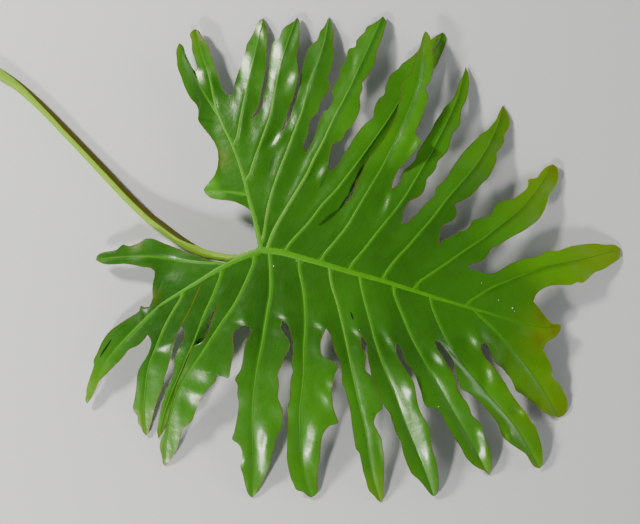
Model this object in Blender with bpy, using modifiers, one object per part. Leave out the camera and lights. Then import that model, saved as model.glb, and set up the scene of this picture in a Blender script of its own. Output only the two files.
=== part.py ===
# One cut leaf of a split-leaf philodendron, lying face up on a table.
# The stalk and the midrib that it runs into are one tapered body under the blade. The blade is a thin sheet made of
# half lobes, each a grid between its rib and its margin, welded along the ribs and along the web between lobes.

import bpy
import bmesh
import numpy as np
from mathutils import Vector
from mathutils.geometry import delaunay_2d_cdt

# Plan sizes are millimetres from the joint, where the stalk meets the blade; +X runs towards the leaf's tip.
MM = 0.001
BLADE_THICKNESS = 0.8
SEAT_GAP = 0.35          # between the blade and the stalk under it

# The blade stands on its drooping tips like a low dome.
DOME_HEIGHT = 46.0
DOME_CENTRE = np.array([78.0, -14.0])
DOME_REACH = np.array([276.0, 262.0])

# Between two ribs the sheet bulges up, most at the notch where it divides into lobes.
NOTCH_BULGE = 6.0
EASE_SHARE = 0.35        # share of a free lobe over which it takes its own fold and height

# Ribs stand out under the sheet: relief beyond the blade's own thickness, at the root and at the tip of a lobe.
RIB_RELIEF = (1.7, 0.2)
RIB_HALF_WIDTHS = (2.6, 1.2)
MAIN_RIB_THICKNESS = 2.0

# Mesh steps along a rib: in the web, and in the free lobes, whose margin is wavy.
WEB_STEP = 15.0
FREE_STEP = 8.6
COLUMNS = 2              # from a rib's middle to its flank, and on to the margin
CURVE_SAMPLES = 8        # points of a smooth line between two given points
WELD = 0.00002

# The three main ribs, from the joint outwards, with the half-width of each at its start and at its end.
MAIN_RIBS = (
    {"line": ((0, 0), (-3, 15), (-7, 32), (-12, 50), (-17, 70), (-24, 92), (-31, 109), (-38, 123), (-45, 140)),
     "half_width": (3.0, 1.0)},
    {"line": ((0, 0), (20, -2.5), (40, -8), (60, -13.5), (90, -22.5), (120, -30.5), (150, -40), (185, -51), (219, -61)),
     "half_width": (3.6, 1.2)},
    {"line": ((0, 0), (-10, -4), (-22, -9), (-36, -15.5), (-50, -23.5), (-62, -31), (-76, -39.5), (-90, -48), (-103, -56)),
     "half_width": (3.0, 1.0)},
)
JOINT_CLEAR = 3.6        # the edges of the main ribs start this far from the joint
EDGE_STEP = 4.0

# The lobes in turn round the leaf, from the sinus beside the stalk. "rib" runs from the main rib to the tip.
# "out" is the margin from the notch before the lobe to its tip, and "back" the margin from the tip to the next notch,
# which it ends on. "slope" is how steeply the out and back halves rise from the rib. "lift" is the height added half way
# along the free lobe, and "tip" the height of the tip over the table.
LOBES = (
    {"rib": ((-14, 55), (-28, 57), (-43, 58.5), (-58, 60)),
     "out": ((-10, 40), (-20, 46), (-31, 49), (-44, 51), (-54, 54)),
     "back": ((-55, 64), (-49, 72), (-45, 82), (-43, 92), (-44, 99)),
     "slope": (0.05, 0.15), "lift": 0, "tip": 29},
    {"rib": ((-44, 134), (-53, 149), (-62, 164), (-70, 179), (-77, 192), (-83, 207)),
     "out": ((-50, 111), (-61, 126), (-64, 132), (-63, 140), (-65, 146), (-76, 161), (-82, 176), (-85, 189), (-86, 200)),
     "back": ((-79, 204), (-76, 195), (-71, 185), (-66, 178)),
     "slope": (0.30, 0.15), "lift": 0, "tip": 8},
    {"rib": ((-45, 140), (-49, 158), (-53, 175), (-58, 190), (-62, 204), (-67, 221)),
     "out": ((-66, 185), (-69, 193), (-70, 207), (-72, 214)),
     "back": ((-62, 218), (-57, 209), (-52, 197), (-46, 182), (-41, 167), (-37, 157), (-33, 154)),
     "slope": (0.10, 0.20), "lift": 0, "tip": 0},
    {"rib": ((-26, 103), (-23, 118), (-20, 135), (-17, 150), (-14, 165), (-10, 182), (-6, 200), (-2, 217), (1, 232)),
     "out": ((-29, 157), (-27, 169), (-21, 184), (-16, 204), (-10, 216), (-5, 227)),
     "back": ((4, 223), (5, 207), (4, 188), (3, 174), (1.5, 163), (-1, 154), (-4, 144), (-11, 131)),
     "slope": (-0.25, 0.20), "lift": 1, "tip": 0},
    {"rib": ((-13, 68), (-10, 80), (-5, 95), (0, 109), (5, 123), (10, 138), (13, 156), (17, 176), (22, 196), (28, 214), (35, 233)),
     "out": ((-3, 137), (1.5, 147), (3.5, 158), (6, 172), (7, 186), (9, 203), (12, 210), (17, 212), (21, 221), (28, 226)),
     "back": ((37, 228), (37, 214), (35, 198), (35, 190), (36.5, 178), (34.5, 164), (31, 152), (26, 139), (21, 127), (17, 116)),
     "slope": (-0.20, 0.10), "lift": -1, "tip": 4},
    {"rib": ((1, 6), (4, 28), (8, 48), (14, 68), (20, 84), (27, 102), (34, 121), (40, 137), (45, 155), (50, 172), (57, 190),
             (63, 210), (67, 233)),
     "out": ((23, 123), (28, 134), (33, 146), (37, 158), (39, 170), (40, 183), (45, 199), (49, 206), (55, 210), (59, 220),
             (64, 226)),
     "back": ((71, 224), (71, 209), (72, 198), (69, 182), (66, 171), (68, 166), (62, 153), (58, 142), (48, 127), (46, 113),
              (42, 103), (44, 97)),
     "slope": (-0.20, 0.05), "lift": 1, "tip": 0},
    {"rib": ((6, 3), (13, 20), (22, 36), (34, 56), (45, 75), (52, 90), (60, 105), (67, 120), (74, 135), (82, 150), (90, 166),
             (98, 184), (107, 203), (121, 234)),
     "out": ((50, 108), (57, 126), (63, 138), (71, 147), (71, 153), (70, 159), (77, 171), (78, 180), (85, 193), (87, 201),
             (93, 203), (94, 210), (103, 221), (115, 229)),
     "back": ((124, 229), (120, 212), (114, 197), (114, 189), (101, 168), (101, 159), (98, 140), (94, 130), (84, 118),
              (80, 109), (70, 105), (67, 95), (66, 83), (69, 79)),
     "slope": (-0.18, 0.12), "lift": 2, "tip": 3},
    {"rib": ((22, 0), (35, 14), (48, 28), (60, 44), (74, 59), (88, 77), (100, 93), (110, 107), (120, 121), (131, 138),
             (143, 158), (155, 178), (168, 198), (181, 218)),
     "out": ((77, 86), (84, 97), (91, 111), (100, 123), (111, 133), (113, 143), (118, 152), (123, 157), (128, 175),
             (142, 188), (150, 191), (160, 203), (172, 214)),
     "back": ((184, 213), (182, 201), (175, 188), (165, 176), (157, 164), (147, 145), (135, 123), (121, 103), (107, 84),
              (95, 66), (86, 53), (81, 45)),
     "slope": (-0.05, -0.32), "lift": -3, "tip": 0},
    {"rib": ((58, -9), (72, 7), (85, 23), (95, 40), (105, 57), (115, 74), (124, 90), (131, 105), (139, 122), (146, 138),
             (152, 153), (157, 172), (160, 195), (163, 219)),
     "out": ((88, 52), (93, 62), (99, 73), (103, 84), (112, 97), (121, 109), (128, 120), (134, 137), (137, 153),
             (138, 165), (148, 177), (150, 190), (157, 203), (160, 213)),
     "back": ((167, 211), (171, 196), (171, 183), (168, 171), (162, 161), (165, 153), (161, 139), (156, 124), (153, 116),
              (159, 108), (151, 97), (144, 88), (136, 80), (131, 70), (129, 61)),
     "slope": (0.02, 0.18), "lift": 6, "tip": 12},
    {"rib": ((86, -18), (100, -2), (115, 17), (127, 32), (138, 46), (149, 63), (160, 82), (169, 98), (178, 115), (187, 133),
             (195, 151), (204, 184)),
     "out": ((136, 64), (140, 72), (140, 80), (150, 86), (155, 93), (156, 99), (163, 109), (170, 122), (177, 132), (184, 144),
             (193, 154), (198, 167)),
     "back": ((207, 174), (207, 160), (200, 143), (199, 128), (189, 114), (188, 107), (182, 96), (174, 87), (172, 79),
              (163, 69), (161, 58), (155, 51), (147, 48), (140, 36), (139, 26)),
     "slope": (-0.22, 0.10), "lift": 1, "tip": 2},
    {"rib": ((120, -27), (134, -9), (147, 5), (160, 20), (172, 34), (184, 50), (197, 65), (209, 79), (220, 94), (229, 110),
             (236, 126), (241, 145)),
     "out": ((146, 29), (158, 40), (172, 54), (174, 62), (185, 73), (196, 91), (211, 108), (219, 117), (227, 122), (235, 134)),
     "back": ((247, 132), (247, 122), (242, 114), (241, 105), (235, 97), (233, 86), (225, 73), (209, 54), (193, 45),
              (194, 37), (190, 30), (180, 24), (177, 15), (176, 6)),
     "slope": (-0.22, 0.05), "lift": 2, "tip": 0},
    {"rib": ((151, -35), (168, -24), (186, -12), (203, 0), (220, 11), (238, 25), (254, 37), (267, 50), (279, 66), (291, 86)),
     "out": ((182, 10), (200, 18), (207, 23), (211, 29), (225, 34), (234, 46), (250, 50), (264, 62), (266, 71), (276, 73),
             (283, 83)),
     "back": ((296, 79), (294, 67), (287, 56), (282, 42), (276, 32), (260, 19), (240, 8), (229, 0), (225, -7), (210, -13),
              (205, -18)),
     "slope": (-0.18, 0.08), "lift": 1, "tip": 4},
    {"rib": ((203, -53), (215, -46), (230, -37), (247, -30), (265, -23), (285, -16.5), (305, -12.5), (325, -8), (345, -3),
             (359, 1)),
     "out": ((213, -20), (228, -23), (243, -15), (258, -8), (273, -7), (285, -1), (298, 1), (315, 5.5), (332, 7), (352, 5)),
     "back": ((357, -8), (344, -18), (334, -21), (320, -32), (309, -34), (290, -35), (276, -41), (271, -51)),
     "slope": (-0.10, 0.12), "lift": 2, "tip": 0},
    {"rib": ((219, -61), (240, -67), (262, -74), (280, -77), (299, -76)),
     "out": ((278, -61), (287, -72), (294, -74)),
     "back": ((296, -83), (286, -91), (281, -100)),
     "slope": (-0.10, 0.05), "lift": 0, "tip": 9},
    {"rib": ((211, -61), (224, -72), (237, -85), (250, -99), (262, -113), (273, -128), (283, -143), (297, -168)),
     "out": ((287, -112), (290, -121), (289, -126), (298, -136), (304, -149), (304, -161)),
     "back": ((288, -166), (279, -160), (265, -148), (254, -141), (247, -126), (241, -118), (234, -114), (227, -99),
              (219, -94)),
     "slope": (0.10, 0.10), "lift": 2, "tip": 0},
    {"rib": ((166, -47), (170, -58), (177, -75), (185, -91), (194, -105), (205, -120), (218, -136), (230, -150),
             (242, -163), (254, -178), (265, -196), (278, -219)),
     "out": ((222, -106), (229, -114), (240, -130), (248, -142), (263, -163), (274, -182), (281, -204), (281, -214)),
     "back": ((268, -211), (257, -199), (242, -187), (236, -175), (224, -157), (207, -141), (198, -138), (194, -124),
              (187, -107), (179, -96), (173, -89)),
     "slope": (0.16, 0.20), "lift": 2, "tip": 2},
    {"rib": ((129, -36), (134, -50), (141, -67), (149, -86), (158, -103), (168, -121), (178, -138), (188, -156),
             (198, -173), (207, -189), (216, -205), (227, -226)),
     "out": ((173, -98), (184, -109), (192, -121), (195, -134), (205, -151), (210, -166), (219, -177), (221, -186),
             (230, -206), (229, -219)),
     "back": ((218, -219), (205, -208), (191, -187), (179, -166), (172, -158), (162, -155), (154, -132), (142, -111),
              (138, -99), (134, -93)),
     "slope": (0.22, 0.14), "lift": 2, "tip": 0},
    {"rib": ((97, -25), (101, -45), (107, -67), (112, -87), (118, -106), (126, -127), (133, -144), (139, -161), (146, -180),
             (153, -196), (161, -215), (172, -247)),
     "out": ((135, -105), (148, -127), (153, -140), (158, -161), (167, -177), (168, -191), (175, -212), (177, -236)),
     "back": ((166, -241), (156, -229), (148, -221), (141, -203), (132, -181), (124, -154), (119, -141), (113, -128),
              (108, -115), (106, -103), (104, -94), (99, -86)),
     "slope": (0.26, 0.12), "lift": 3, "tip": 2},
    {"rib": ((67, -20), (70, -36), (75, -52), (80, -72), (84, -90), (88, -110), (92, -130), (96, -148), (101, -168),
             (105, -188), (108, -210), (112, -232), (119, -253)),
     "out": ((100, -95), (103, -105), (102, -118), (108, -128), (116, -144), (120, -152), (112, -167), (113, -175),
             (119, -188), (122, -208), (122, -232), (122, -246)),
     "back": ((109, -243), (103, -229), (99, -208), (94, -197), (90, -172), (83, -139), (79, -122), (76, -107), (69, -87),
              (64, -78)),
     "slope": (0.14, 0.10), "lift": 2, "tip": 0},
    {"rib": ((36, -12), (39, -27), (42, -42), (43.5, -62), (43.5, -80), (42, -100), (42, -120), (40, -140), (38, -160),
             (38, -180), (39, -200), (42, -222), (49, -248)),
     "out": ((61, -89), (58, -98), (64, -108), (76, -117), (71, -126), (69, -139), (72, -160), (76, -173), (66, -176),
             (60, -187), (57, -210), (55, -226), (55, -244)),
     "back": ((41, -243), (34, -240), (28, -224), (25, -205), (26, -165), (30, -130), (31, -112), (31, -94), (28, -80),
              (21, -70)),
     "slope": (0.20, 0.10), "lift": 3, "tip": 2},
    {"rib": ((8, -4), (9, -22), (9, -42), (6, -60), (3, -78), (0, -96), (-4, -115), (-7, -135), (-9, -155), (-9.5, -175),
             (-9, -200), (-9, -225), (-10, -248)),
     "out": ((19, -76), (26, -88), (28, -96), (21, -113), (16, -126), (17, -146), (21, -161), (19, -179), (12, -200),
             (4, -224), (-4, -242)),
     "back": ((-16, -240), (-21, -214), (-20, -201), (-29, -189), (-25, -170), (-24, -136), (-26, -129), (-19, -113),
              (-17, -98), (-11, -80), (-17, -75)),
     "slope": (0.22, 0.12), "lift": 3, "tip": 0},
    {"rib": ((-5, -6), (-11, -21), (-19, -39), (-28, -56), (-38, -70), (-48, -85), (-58, -101), (-69, -117), (-78, -131),
             (-85, -145), (-90, -160), (-94, -177), (-96, -195), (-97, -216)),
     "out": ((-28, -83), (-28, -98), (-31, -115), (-34, -128), (-43, -123), (-49, -133), (-60, -144), (-69, -170),
             (-79, -179), (-85, -199)),
     "back": ((-100, -208), (-103, -194), (-98, -176), (-95, -162), (-88, -142), (-80, -126), (-72, -105), (-61, -92),
              (-54, -80), (-49, -66), (-44, -54)),
     "slope": (0.22, 0.02), "lift": 6, "tip": 0},
    {"rib": ((-38, -19), (-43, -32), (-49, -47), (-56, -62), (-62, -77), (-68, -92), (-75, -107), (-81, -121), (-87, -135),
             (-93, -150), (-98, -166), (-104, -189)),
     "out": ((-50.5, -65), (-54, -78), (-60, -94), (-66, -110), (-74, -128), (-83, -146), (-91, -160), (-98, -175)),
     "back": ((-105, -175), (-102, -158), (-97, -144), (-91, -132), (-88, -110), (-79, -92), (-78, -83), (-80, -75)),
     "slope": (-0.30, 0.05), "lift": -4, "tip": 0},
    {"rib": ((-76, -42), (-84, -54), (-92, -67), (-99, -81), (-105, -95), (-111, -110), (-115, -126), (-117, -145),
             (-118, -163), (-116, -186)),
     "out": ((-85, -87), (-90, -103), (-94, -121), (-101, -142), (-106, -156), (-111, -175)),
     "back": ((-120, -180), (-125, -172), (-129, -157), (-126, -140), (-125, -124), (-116, -107), (-111, -92), (-114, -85)),
     "slope": (0.20, 0.12), "lift": 2, "tip": 2},
    {"rib": ((-103, -56), (-113, -66), (-124, -77), (-135, -88), (-147, -101), (-157, -114), (-165, -129), (-175, -154)),
     "out": ((-122, -93), (-134, -99), (-144, -112), (-156, -125), (-169, -144)),
     "back": ((-177, -146), (-174, -132), (-169, -115), (-160, -92), (-147, -78), (-125, -64), (-121, -56), (-110, -55),
              (-108, -38), (-106, -23)),
     "slope": (0.10, 0.15), "lift": 2, "tip": 0},
    {"rib": ((-36, -13), (-50, -13), (-70, -11.5), (-90, -8.5), (-110, -6.5), (-130, -6.5), (-148, -7.5), (-166, -10)),
     "out": ((-110, -18), (-120, -17), (-138, -14), (-157, -14)),
     "back": ((-158, -2), (-146, 0), (-139, 5.5), (-132, 4), (-121, 8), (-117, 11), (-105, 10), (-90, 4), (-76, -1.8),
              (-62, -7), (-50, -11.3), (-42, -12.4)),
     "slope": (0.05, 0.10), "lift": 0, "tip": 2},
)

# The stalk in plan, from the cut end to the joint, and its radius along it; then it runs on under the midrib.
STALK_LINE = ((-330, 213), (-297, 197), (-262, 176), (-230, 151), (-200, 123), (-150, 73), (-125, 48.5), (-100, 24),
              (-80, 8.5), (-60, -1.5), (-44, -6.5), (-28, -8.5), (-12, -5), (0, 0))
STALK_RADII = ((0, 5.3), (150, 4.9), (300, 4.7), (350, 4.0), (405, 3.7))
MIDRIB_END_RADIUS = 1.1
STALK_LANDS = 150.0      # length of stalk, from the cut end, that lies on the table
STALK_REST = 0.85        # height of its centre line over the table, in radii: its underside is pressed flat
STALK_STEP = 9.0
STALK_BEVEL_RESOLUTION = 4
CUT_PLACE = (-322.0, 208.0, 0.0)
CUT_NORMAL = (-0.8, 0.25, -0.55)

BLADE_COLOUR = (0.068, 0.205, 0.012, 1.0)
BLADE_ROUGHNESS = 0.33
STALK_COLOUR = (0.36, 0.52, 0.10, 1.0)
STALK_ROUGHNESS = 0.4
SHARP_ANGLE = 0.7
COLLECTION = "philodendron_selloum_leaf"


class Path:
    """A line through points, read by the distance along it."""

    def __init__(self, points):
        self.points = np.array(points, float)
        self.marks = np.concatenate([[0.0], np.cumsum(np.linalg.norm(np.diff(self.points, axis=0), axis=1))])
        self.length = self.marks[-1]

    def at(self, distance):
        return np.array([np.interp(distance, self.marks, column) for column in self.points.T])

    def station(self, point):
        """The distance along the line of its nearest place to a point."""
        runs = np.diff(self.points, axis=0)
        share = np.einsum("ij,ij->i", point - self.points[:-1], runs) / np.einsum("ij,ij->i", runs, runs)
        share = np.clip(share, 0.0, 1.0)
        nearest = np.argmin(np.linalg.norm(self.points[:-1] + share[:, None] * runs - point, axis=1))
        return self.marks[nearest] + share[nearest] * np.linalg.norm(runs[nearest])

    def side(self, distance):
        """The unit vector to the left of the line at a distance."""
        ahead, behind = self.at(min(distance + 1.0, self.length)), self.at(max(distance - 1.0, 0.0))
        run = (ahead - behind) / np.linalg.norm(ahead - behind)
        return np.array([-run[1], run[0]])


def smooth_line(points):
    """A centripetal Catmull-Rom curve through points, which keeps close to uneven ones."""
    given = [np.array(p, float) for p in points]
    given = [2 * given[0] - given[1], *given, 2 * given[-1] - given[-2]]
    made = []
    for a, b, c, d in zip(given, given[1:], given[2:], given[3:]):
        t1 = np.linalg.norm(b - a) ** 0.5
        t2 = t1 + np.linalg.norm(c - b) ** 0.5
        t3 = t2 + np.linalg.norm(d - c) ** 0.5
        for t in np.linspace(t1, t2, CURVE_SAMPLES, endpoint=False):
            ab = a + (b - a) * t / t1
            bc = b + (c - b) * (t - t1) / (t2 - t1)
            cd = c + (d - c) * (t - t2) / (t3 - t2)
            abc = ab + (bc - ab) * t / t2
            bcd = bc + (cd - bc) * (t - t1) / (t3 - t1)
            made.append(abc + (bcd - abc) * (t - t1) / (t2 - t1))
    return [*made, given[-2]]


def ease(share):
    """A smooth step from 0 to 1."""
    share = min(max(share, 0.0), 1.0)
    return share * share * (3 - 2 * share)


def dome(point):
    """Height of the sheet's top at the ribs, over the table."""
    return DOME_HEIGHT * (1 - (((point - DOME_CENTRE) / DOME_REACH) ** 2).sum())


def main_rib_outline():
    """The edge of the band that the three main ribs make in plan, clockwise from the sinus, as one line."""
    outline = []
    for rib in MAIN_RIBS:
        line = Path(smooth_line(rib["line"]))
        start, end = rib["half_width"]
        stations = np.linspace(JOINT_CLEAR, line.length - EDGE_STEP, round(line.length / EDGE_STEP))
        offsets = [line.side(s) * np.interp(s, (0, line.length), (start, end)) for s in stations]
        centres = [line.at(s) for s in stations]
        outline += [c + o for c, o in zip(centres, offsets)]
        outline.append(line.at(line.length))
        outline += [c - o for c, o in reversed(list(zip(centres, offsets)))]
    return Path(outline)


class Side:
    """One half of a lobe: the web's edge up to the notch, then the free margin up to the tip."""

    def __init__(self, band, rib, base, web_start, notch, margin, slope):
        self.band, self.rib, self.base, self.web_start = band, rib, base, web_start
        self.slope = slope
        self.web = Path([band.at(web_start), notch])
        self.webbed = abs(web_start - base) > 0
        self.web_rows = max(2, round(self.web.length / WEB_STEP)) if self.webbed else 0
        self.notch_station = rib.station(notch)
        self.margin = Path(smooth_line([notch, *margin, rib.points[-1]]))
        reached = np.maximum.accumulate([rib.station(p) for p in self.margin.points])
        along = self.margin.marks / self.margin.length
        share = (reached - reached[0]) / (reached[-1] - reached[0])
        self.progress = 0.6 * share + 0.4 * along

    def edge(self, row, rows):
        """The side point of a row: on the web's edge, or on the free margin."""
        if row <= self.web_rows and self.webbed:
            return self.web.at(self.web.length * row / self.web_rows)
        share = self.free_share(row, rows)
        return self.margin.at(np.interp(share, self.progress, self.margin.marks))

    def free_share(self, row, rows):
        return max(0.0, (row - self.web_rows) / (rows - self.web_rows))

    def rise(self, row, rows, across, width):
        """Height over the rib, across the half lobe: 0 at the rib and 1 at its edge."""
        bulge = (1 - np.cos(np.pi * across)) / 2
        if self.webbed and row <= self.web_rows:
            return NOTCH_BULGE * ease(row / self.web_rows) * bulge
        own = ease(self.free_share(row, rows) / EASE_SHARE)
        kept = NOTCH_BULGE * (1 - own) if self.webbed else 0.0
        return kept * bulge + own * self.slope * width * across


class Lobe:
    """A rib and the two halves of sheet beside it."""

    def __init__(self, data, rib, out, back):
        self.data, self.rib, self.sides = data, rib, (out, back)
        web_rows = max(out.web_rows, back.web_rows)
        middle_row = (out.web_rows + back.web_rows) / 2
        middle_station = (out.notch_station + back.notch_station) / 2
        self.rows = web_rows + max(3, round((rib.length - middle_station) / FREE_STEP))
        knots = (0, middle_row, self.rows), (0, middle_station, rib.length)
        self.stations = np.interp(range(self.rows + 1), *knots)
        self.free_from = self.stations[web_rows]
        tip = rib.points[-1]
        self.tip_drop = data["tip"] + BLADE_THICKNESS - dome(tip)

    def rib_height(self, row, point):
        """Top of the sheet over the rib: the dome, then the lobe's own lift and droop."""
        share = max(0.0, (self.stations[row] - self.free_from) / (self.rib.length - self.free_from))
        return dome(point) + self.data["lift"] * ease(share / EASE_SHARE) * (1 - share) + self.tip_drop * ease(share)

    def relief(self, row):
        """How far the rib stands out under the sheet."""
        return np.interp(self.stations[row], (0, self.rib.length), RIB_RELIEF)

    def rib_half_width(self, row):
        return np.interp(self.stations[row], (0, self.rib.length), RIB_HALF_WIDTHS)


def lobes_of(band):
    """The lobes, each with the web edges that it shares with its neighbours."""
    ribs = [Path(smooth_line(data["rib"])) for data in LOBES]
    bases = [band.station(rib.at(2 * EDGE_STEP)) for rib in ribs]
    webs = [(a + b) / 2 for a, b in zip(bases, bases[1:])]
    notches = [np.array(data["back"][-1], float) for data in LOBES]
    made = []
    for i, (data, rib, base) in enumerate(zip(LOBES, ribs, bases)):
        first, last = i == 0, i == len(LOBES) - 1
        before = base if first else webs[i - 1]
        after = base if last else webs[i]
        out_start = np.array(data["out"][0], float) if first else notches[i - 1]
        out_points = data["out"][1:] if first else data["out"]
        out = Side(band, rib, base, before, out_start, out_points, data["slope"][0])
        back = Side(band, rib, base, after, notches[i], data["back"][-2::-1], data["slope"][1])
        made.append(Lobe(data, rib, out, back))
    return made


def sheet_point(lobe, side, row, column):
    """A point of the sheet's top face in millimetres, and how thick the sheet is there."""
    if row == 0:
        point = side.band.at(side.base + (side.web_start - side.base) * column / COLUMNS)
        return np.array([*point, dome(point)]), MAIN_RIB_THICKNESS
    rib_point = lobe.rib.at(lobe.stations[row])
    edge_point = side.edge(row, lobe.rows)
    width = np.linalg.norm(edge_point - rib_point)
    flank = min(0.5, lobe.rib_half_width(row) / max(width, WELD / MM))
    across = (0.0, flank, 1.0)[column]
    point = rib_point + (edge_point - rib_point) * across
    droop = lobe.rib_height(row, rib_point) - dome(rib_point)
    height = dome(point) + droop + side.rise(row, lobe.rows, across, width)
    thickness = BLADE_THICKNESS + (lobe.relief(row) if column == 0 else 0.0)
    return np.array([*point, max(height, thickness)]), thickness


def add_half_lobe(sheet, thick, lobe, side):
    """A grid from rib to margin, moved to its place on the sheet."""
    made = bmesh.ops.create_grid(sheet, x_segments=COLUMNS, y_segments=lobe.rows, size=0.5)
    for vertex in made["verts"]:
        column = round((vertex.co.x + 0.5) * COLUMNS)
        row = round((vertex.co.y + 0.5) * lobe.rows)
        point, vertex[thick] = sheet_point(lobe, side, row, column)
        vertex.co = Vector(point) * MM


def add_main_ribs(sheet, thick, band, lobes):
    """The band of the three main ribs: one face inside the lobes' first rows and the edge at the stalk."""
    stations = list(np.arange(0.0, lobes[0].sides[0].base, EDGE_STEP))
    for lobe in lobes:
        for side, columns in zip(lobe.sides, ((2, 1), (0, 1))):
            stations += [side.base + (side.web_start - side.base) * column / COLUMNS for column in columns]
    stations += list(np.arange(lobes[-1].sides[1].base, band.length, EDGE_STEP))
    points = [band.at(station) for station in sorted(set(stations))]
    corners = [sheet.verts.new(Vector((*point, dome(point))) * MM) for point in points]
    for corner in corners:
        corner[thick] = MAIN_RIB_THICKNESS
    return sheet.faces.new(corners)


def leaf_blade():
    """The blade: the sheet's top face, thickened downwards."""
    band = main_rib_outline()
    lobes = lobes_of(band)
    sheet = bmesh.new()
    thick = sheet.verts.layers.float.new("thickness")
    for lobe in lobes:
        for side in lobe.sides:
            add_half_lobe(sheet, thick, lobe, side)
    add_main_ribs(sheet, thick, band, lobes)
    bmesh.ops.remove_doubles(sheet, verts=sheet.verts, dist=WELD)
    bmesh.ops.dissolve_degenerate(sheet, edges=sheet.edges, dist=WELD)
    bmesh.ops.triangulate(sheet, faces=sheet.faces)
    bmesh.ops.recalc_face_normals(sheet, faces=sheet.faces)
    if sum(face.normal.z for face in sheet.faces) < 0:
        bmesh.ops.reverse_faces(sheet, faces=sheet.faces)
    weights = [vertex[thick] for vertex in sheet.verts]
    blade = add_object("leaf_blade", sheet)
    group = blade.vertex_groups.new(name="thickness")
    for index, weight in enumerate(weights):
        group.add([index], weight / max(weights), "REPLACE")
    solid = blade.modifiers.new("thickness", "SOLIDIFY")
    solid.thickness = max(weights) * MM
    solid.offset = -1
    solid.vertex_group = group.name
    return blade


def stalk_points():
    """The stalk's centre line in millimetres, with its radius at each point."""
    stalk = Path(smooth_line(STALK_LINE))
    midrib = Path(smooth_line(MAIN_RIBS[1]["line"]))
    whole = Path([*stalk.points, *midrib.points[1:]])
    made = []
    for station in np.linspace(0, whole.length, round(whole.length / STALK_STEP)):
        point = whole.at(station)
        radius = np.interp(station, *zip(*STALK_RADII, (whole.length, MIDRIB_END_RADIUS)))
        under_blade = dome(point) - MAIN_RIB_THICKNESS - SEAT_GAP - radius
        lying = STALK_REST * radius
        climb = ease((station - STALK_LANDS) / (stalk.length - STALK_LANDS))
        made.append(((*point, lying + (under_blade - lying) * climb), radius))
    return made


def petiole():
    """The stalk, cut at a slant, and the midrib that it runs on into under the blade."""
    curve = bpy.data.curves.new("petiole_line", "CURVE")
    curve.dimensions = "3D"
    curve.bevel_depth = MM
    curve.bevel_resolution = STALK_BEVEL_RESOLUTION
    curve.use_fill_caps = True
    points = stalk_points()
    spline = curve.splines.new("POLY")
    spline.points.add(len(points) - 1)
    for target, (place, radius) in zip(spline.points, points):
        target.co = (*(Vector(place) * MM), 1)
        target.radius = radius
    line = bpy.data.objects.new("petiole_line", curve)
    bpy.context.scene.collection.objects.link(line)
    tube = bmesh.new()
    tube.from_mesh(bpy.data.meshes.new_from_object(line.evaluated_get(bpy.context.evaluated_depsgraph_get())))
    bpy.data.objects.remove(line)
    bmesh.ops.remove_doubles(tube, verts=tube.verts, dist=WELD)
    everything = [*tube.verts, *tube.edges, *tube.faces]
    cut = bmesh.ops.bisect_plane(tube, geom=everything, plane_co=Vector(CUT_PLACE) * MM, plane_no=CUT_NORMAL,
                                 clear_outer=True)
    rim = [item for item in cut["geom_cut"] if isinstance(item, bmesh.types.BMEdge)]
    bmesh.ops.contextual_create(tube, geom=rim)
    for vertex in tube.verts:
        vertex.co.z = max(vertex.co.z, 0.0)
    bmesh.ops.triangulate(tube, faces=tube.faces)
    bmesh.ops.recalc_face_normals(tube, faces=tube.faces)
    return add_object("petiole", tube)


def add_object(name, shape):
    """A named object made from a bmesh, in the leaf's collection."""
    mesh = bpy.data.meshes.new(name)
    shape.to_mesh(mesh)
    shape.free()
    mesh.shade_smooth()
    mesh.set_sharp_from_angle(angle=SHARP_ANGLE)
    made = bpy.data.objects.new(name, mesh)
    bpy.data.collections[COLLECTION].objects.link(made)
    return made


def give_material(target, colour, roughness):
    material = bpy.data.materials.new(target.name)
    material.use_nodes = True
    surface = material.node_tree.nodes["Principled BSDF"]
    surface.inputs["Base Color"].default_value = colour
    surface.inputs["Roughness"].default_value = roughness
    surface.inputs["Metallic"].default_value = 0.0
    target.data.materials.append(material)


def centre_over_origin(pieces):
    """Move the pieces so that the origin is under the middle of their box, on the table."""
    bpy.context.view_layer.update()
    graph = bpy.context.evaluated_depsgraph_get()
    corners = []
    for piece in pieces:
        mesh = piece.evaluated_get(graph).to_mesh()
        points = np.empty(len(mesh.vertices) * 3)
        mesh.vertices.foreach_get("co", points)
        corners += [points.reshape(-1, 3).min(axis=0), points.reshape(-1, 3).max(axis=0)]
    low, high = np.min(corners, axis=0), np.max(corners, axis=0)
    for piece in pieces:
        piece.location = (-(low[0] + high[0]) / 2, -(low[1] + high[1]) / 2, -low[2])


def build():
    for old in list(bpy.data.objects):
        bpy.data.objects.remove(old)
    collection = bpy.data.collections.new(COLLECTION)
    bpy.context.scene.collection.children.link(collection)
    blade = leaf_blade()
    stalk = petiole()
    give_material(blade, BLADE_COLOUR, BLADE_ROUGHNESS)
    give_material(stalk, STALK_COLOUR, STALK_ROUGHNESS)
    centre_over_origin((blade, stalk))


build()
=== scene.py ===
import bpy
import bmesh
import numpy as np
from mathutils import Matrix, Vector, noise
from mathutils.kdtree import KDTree


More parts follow.
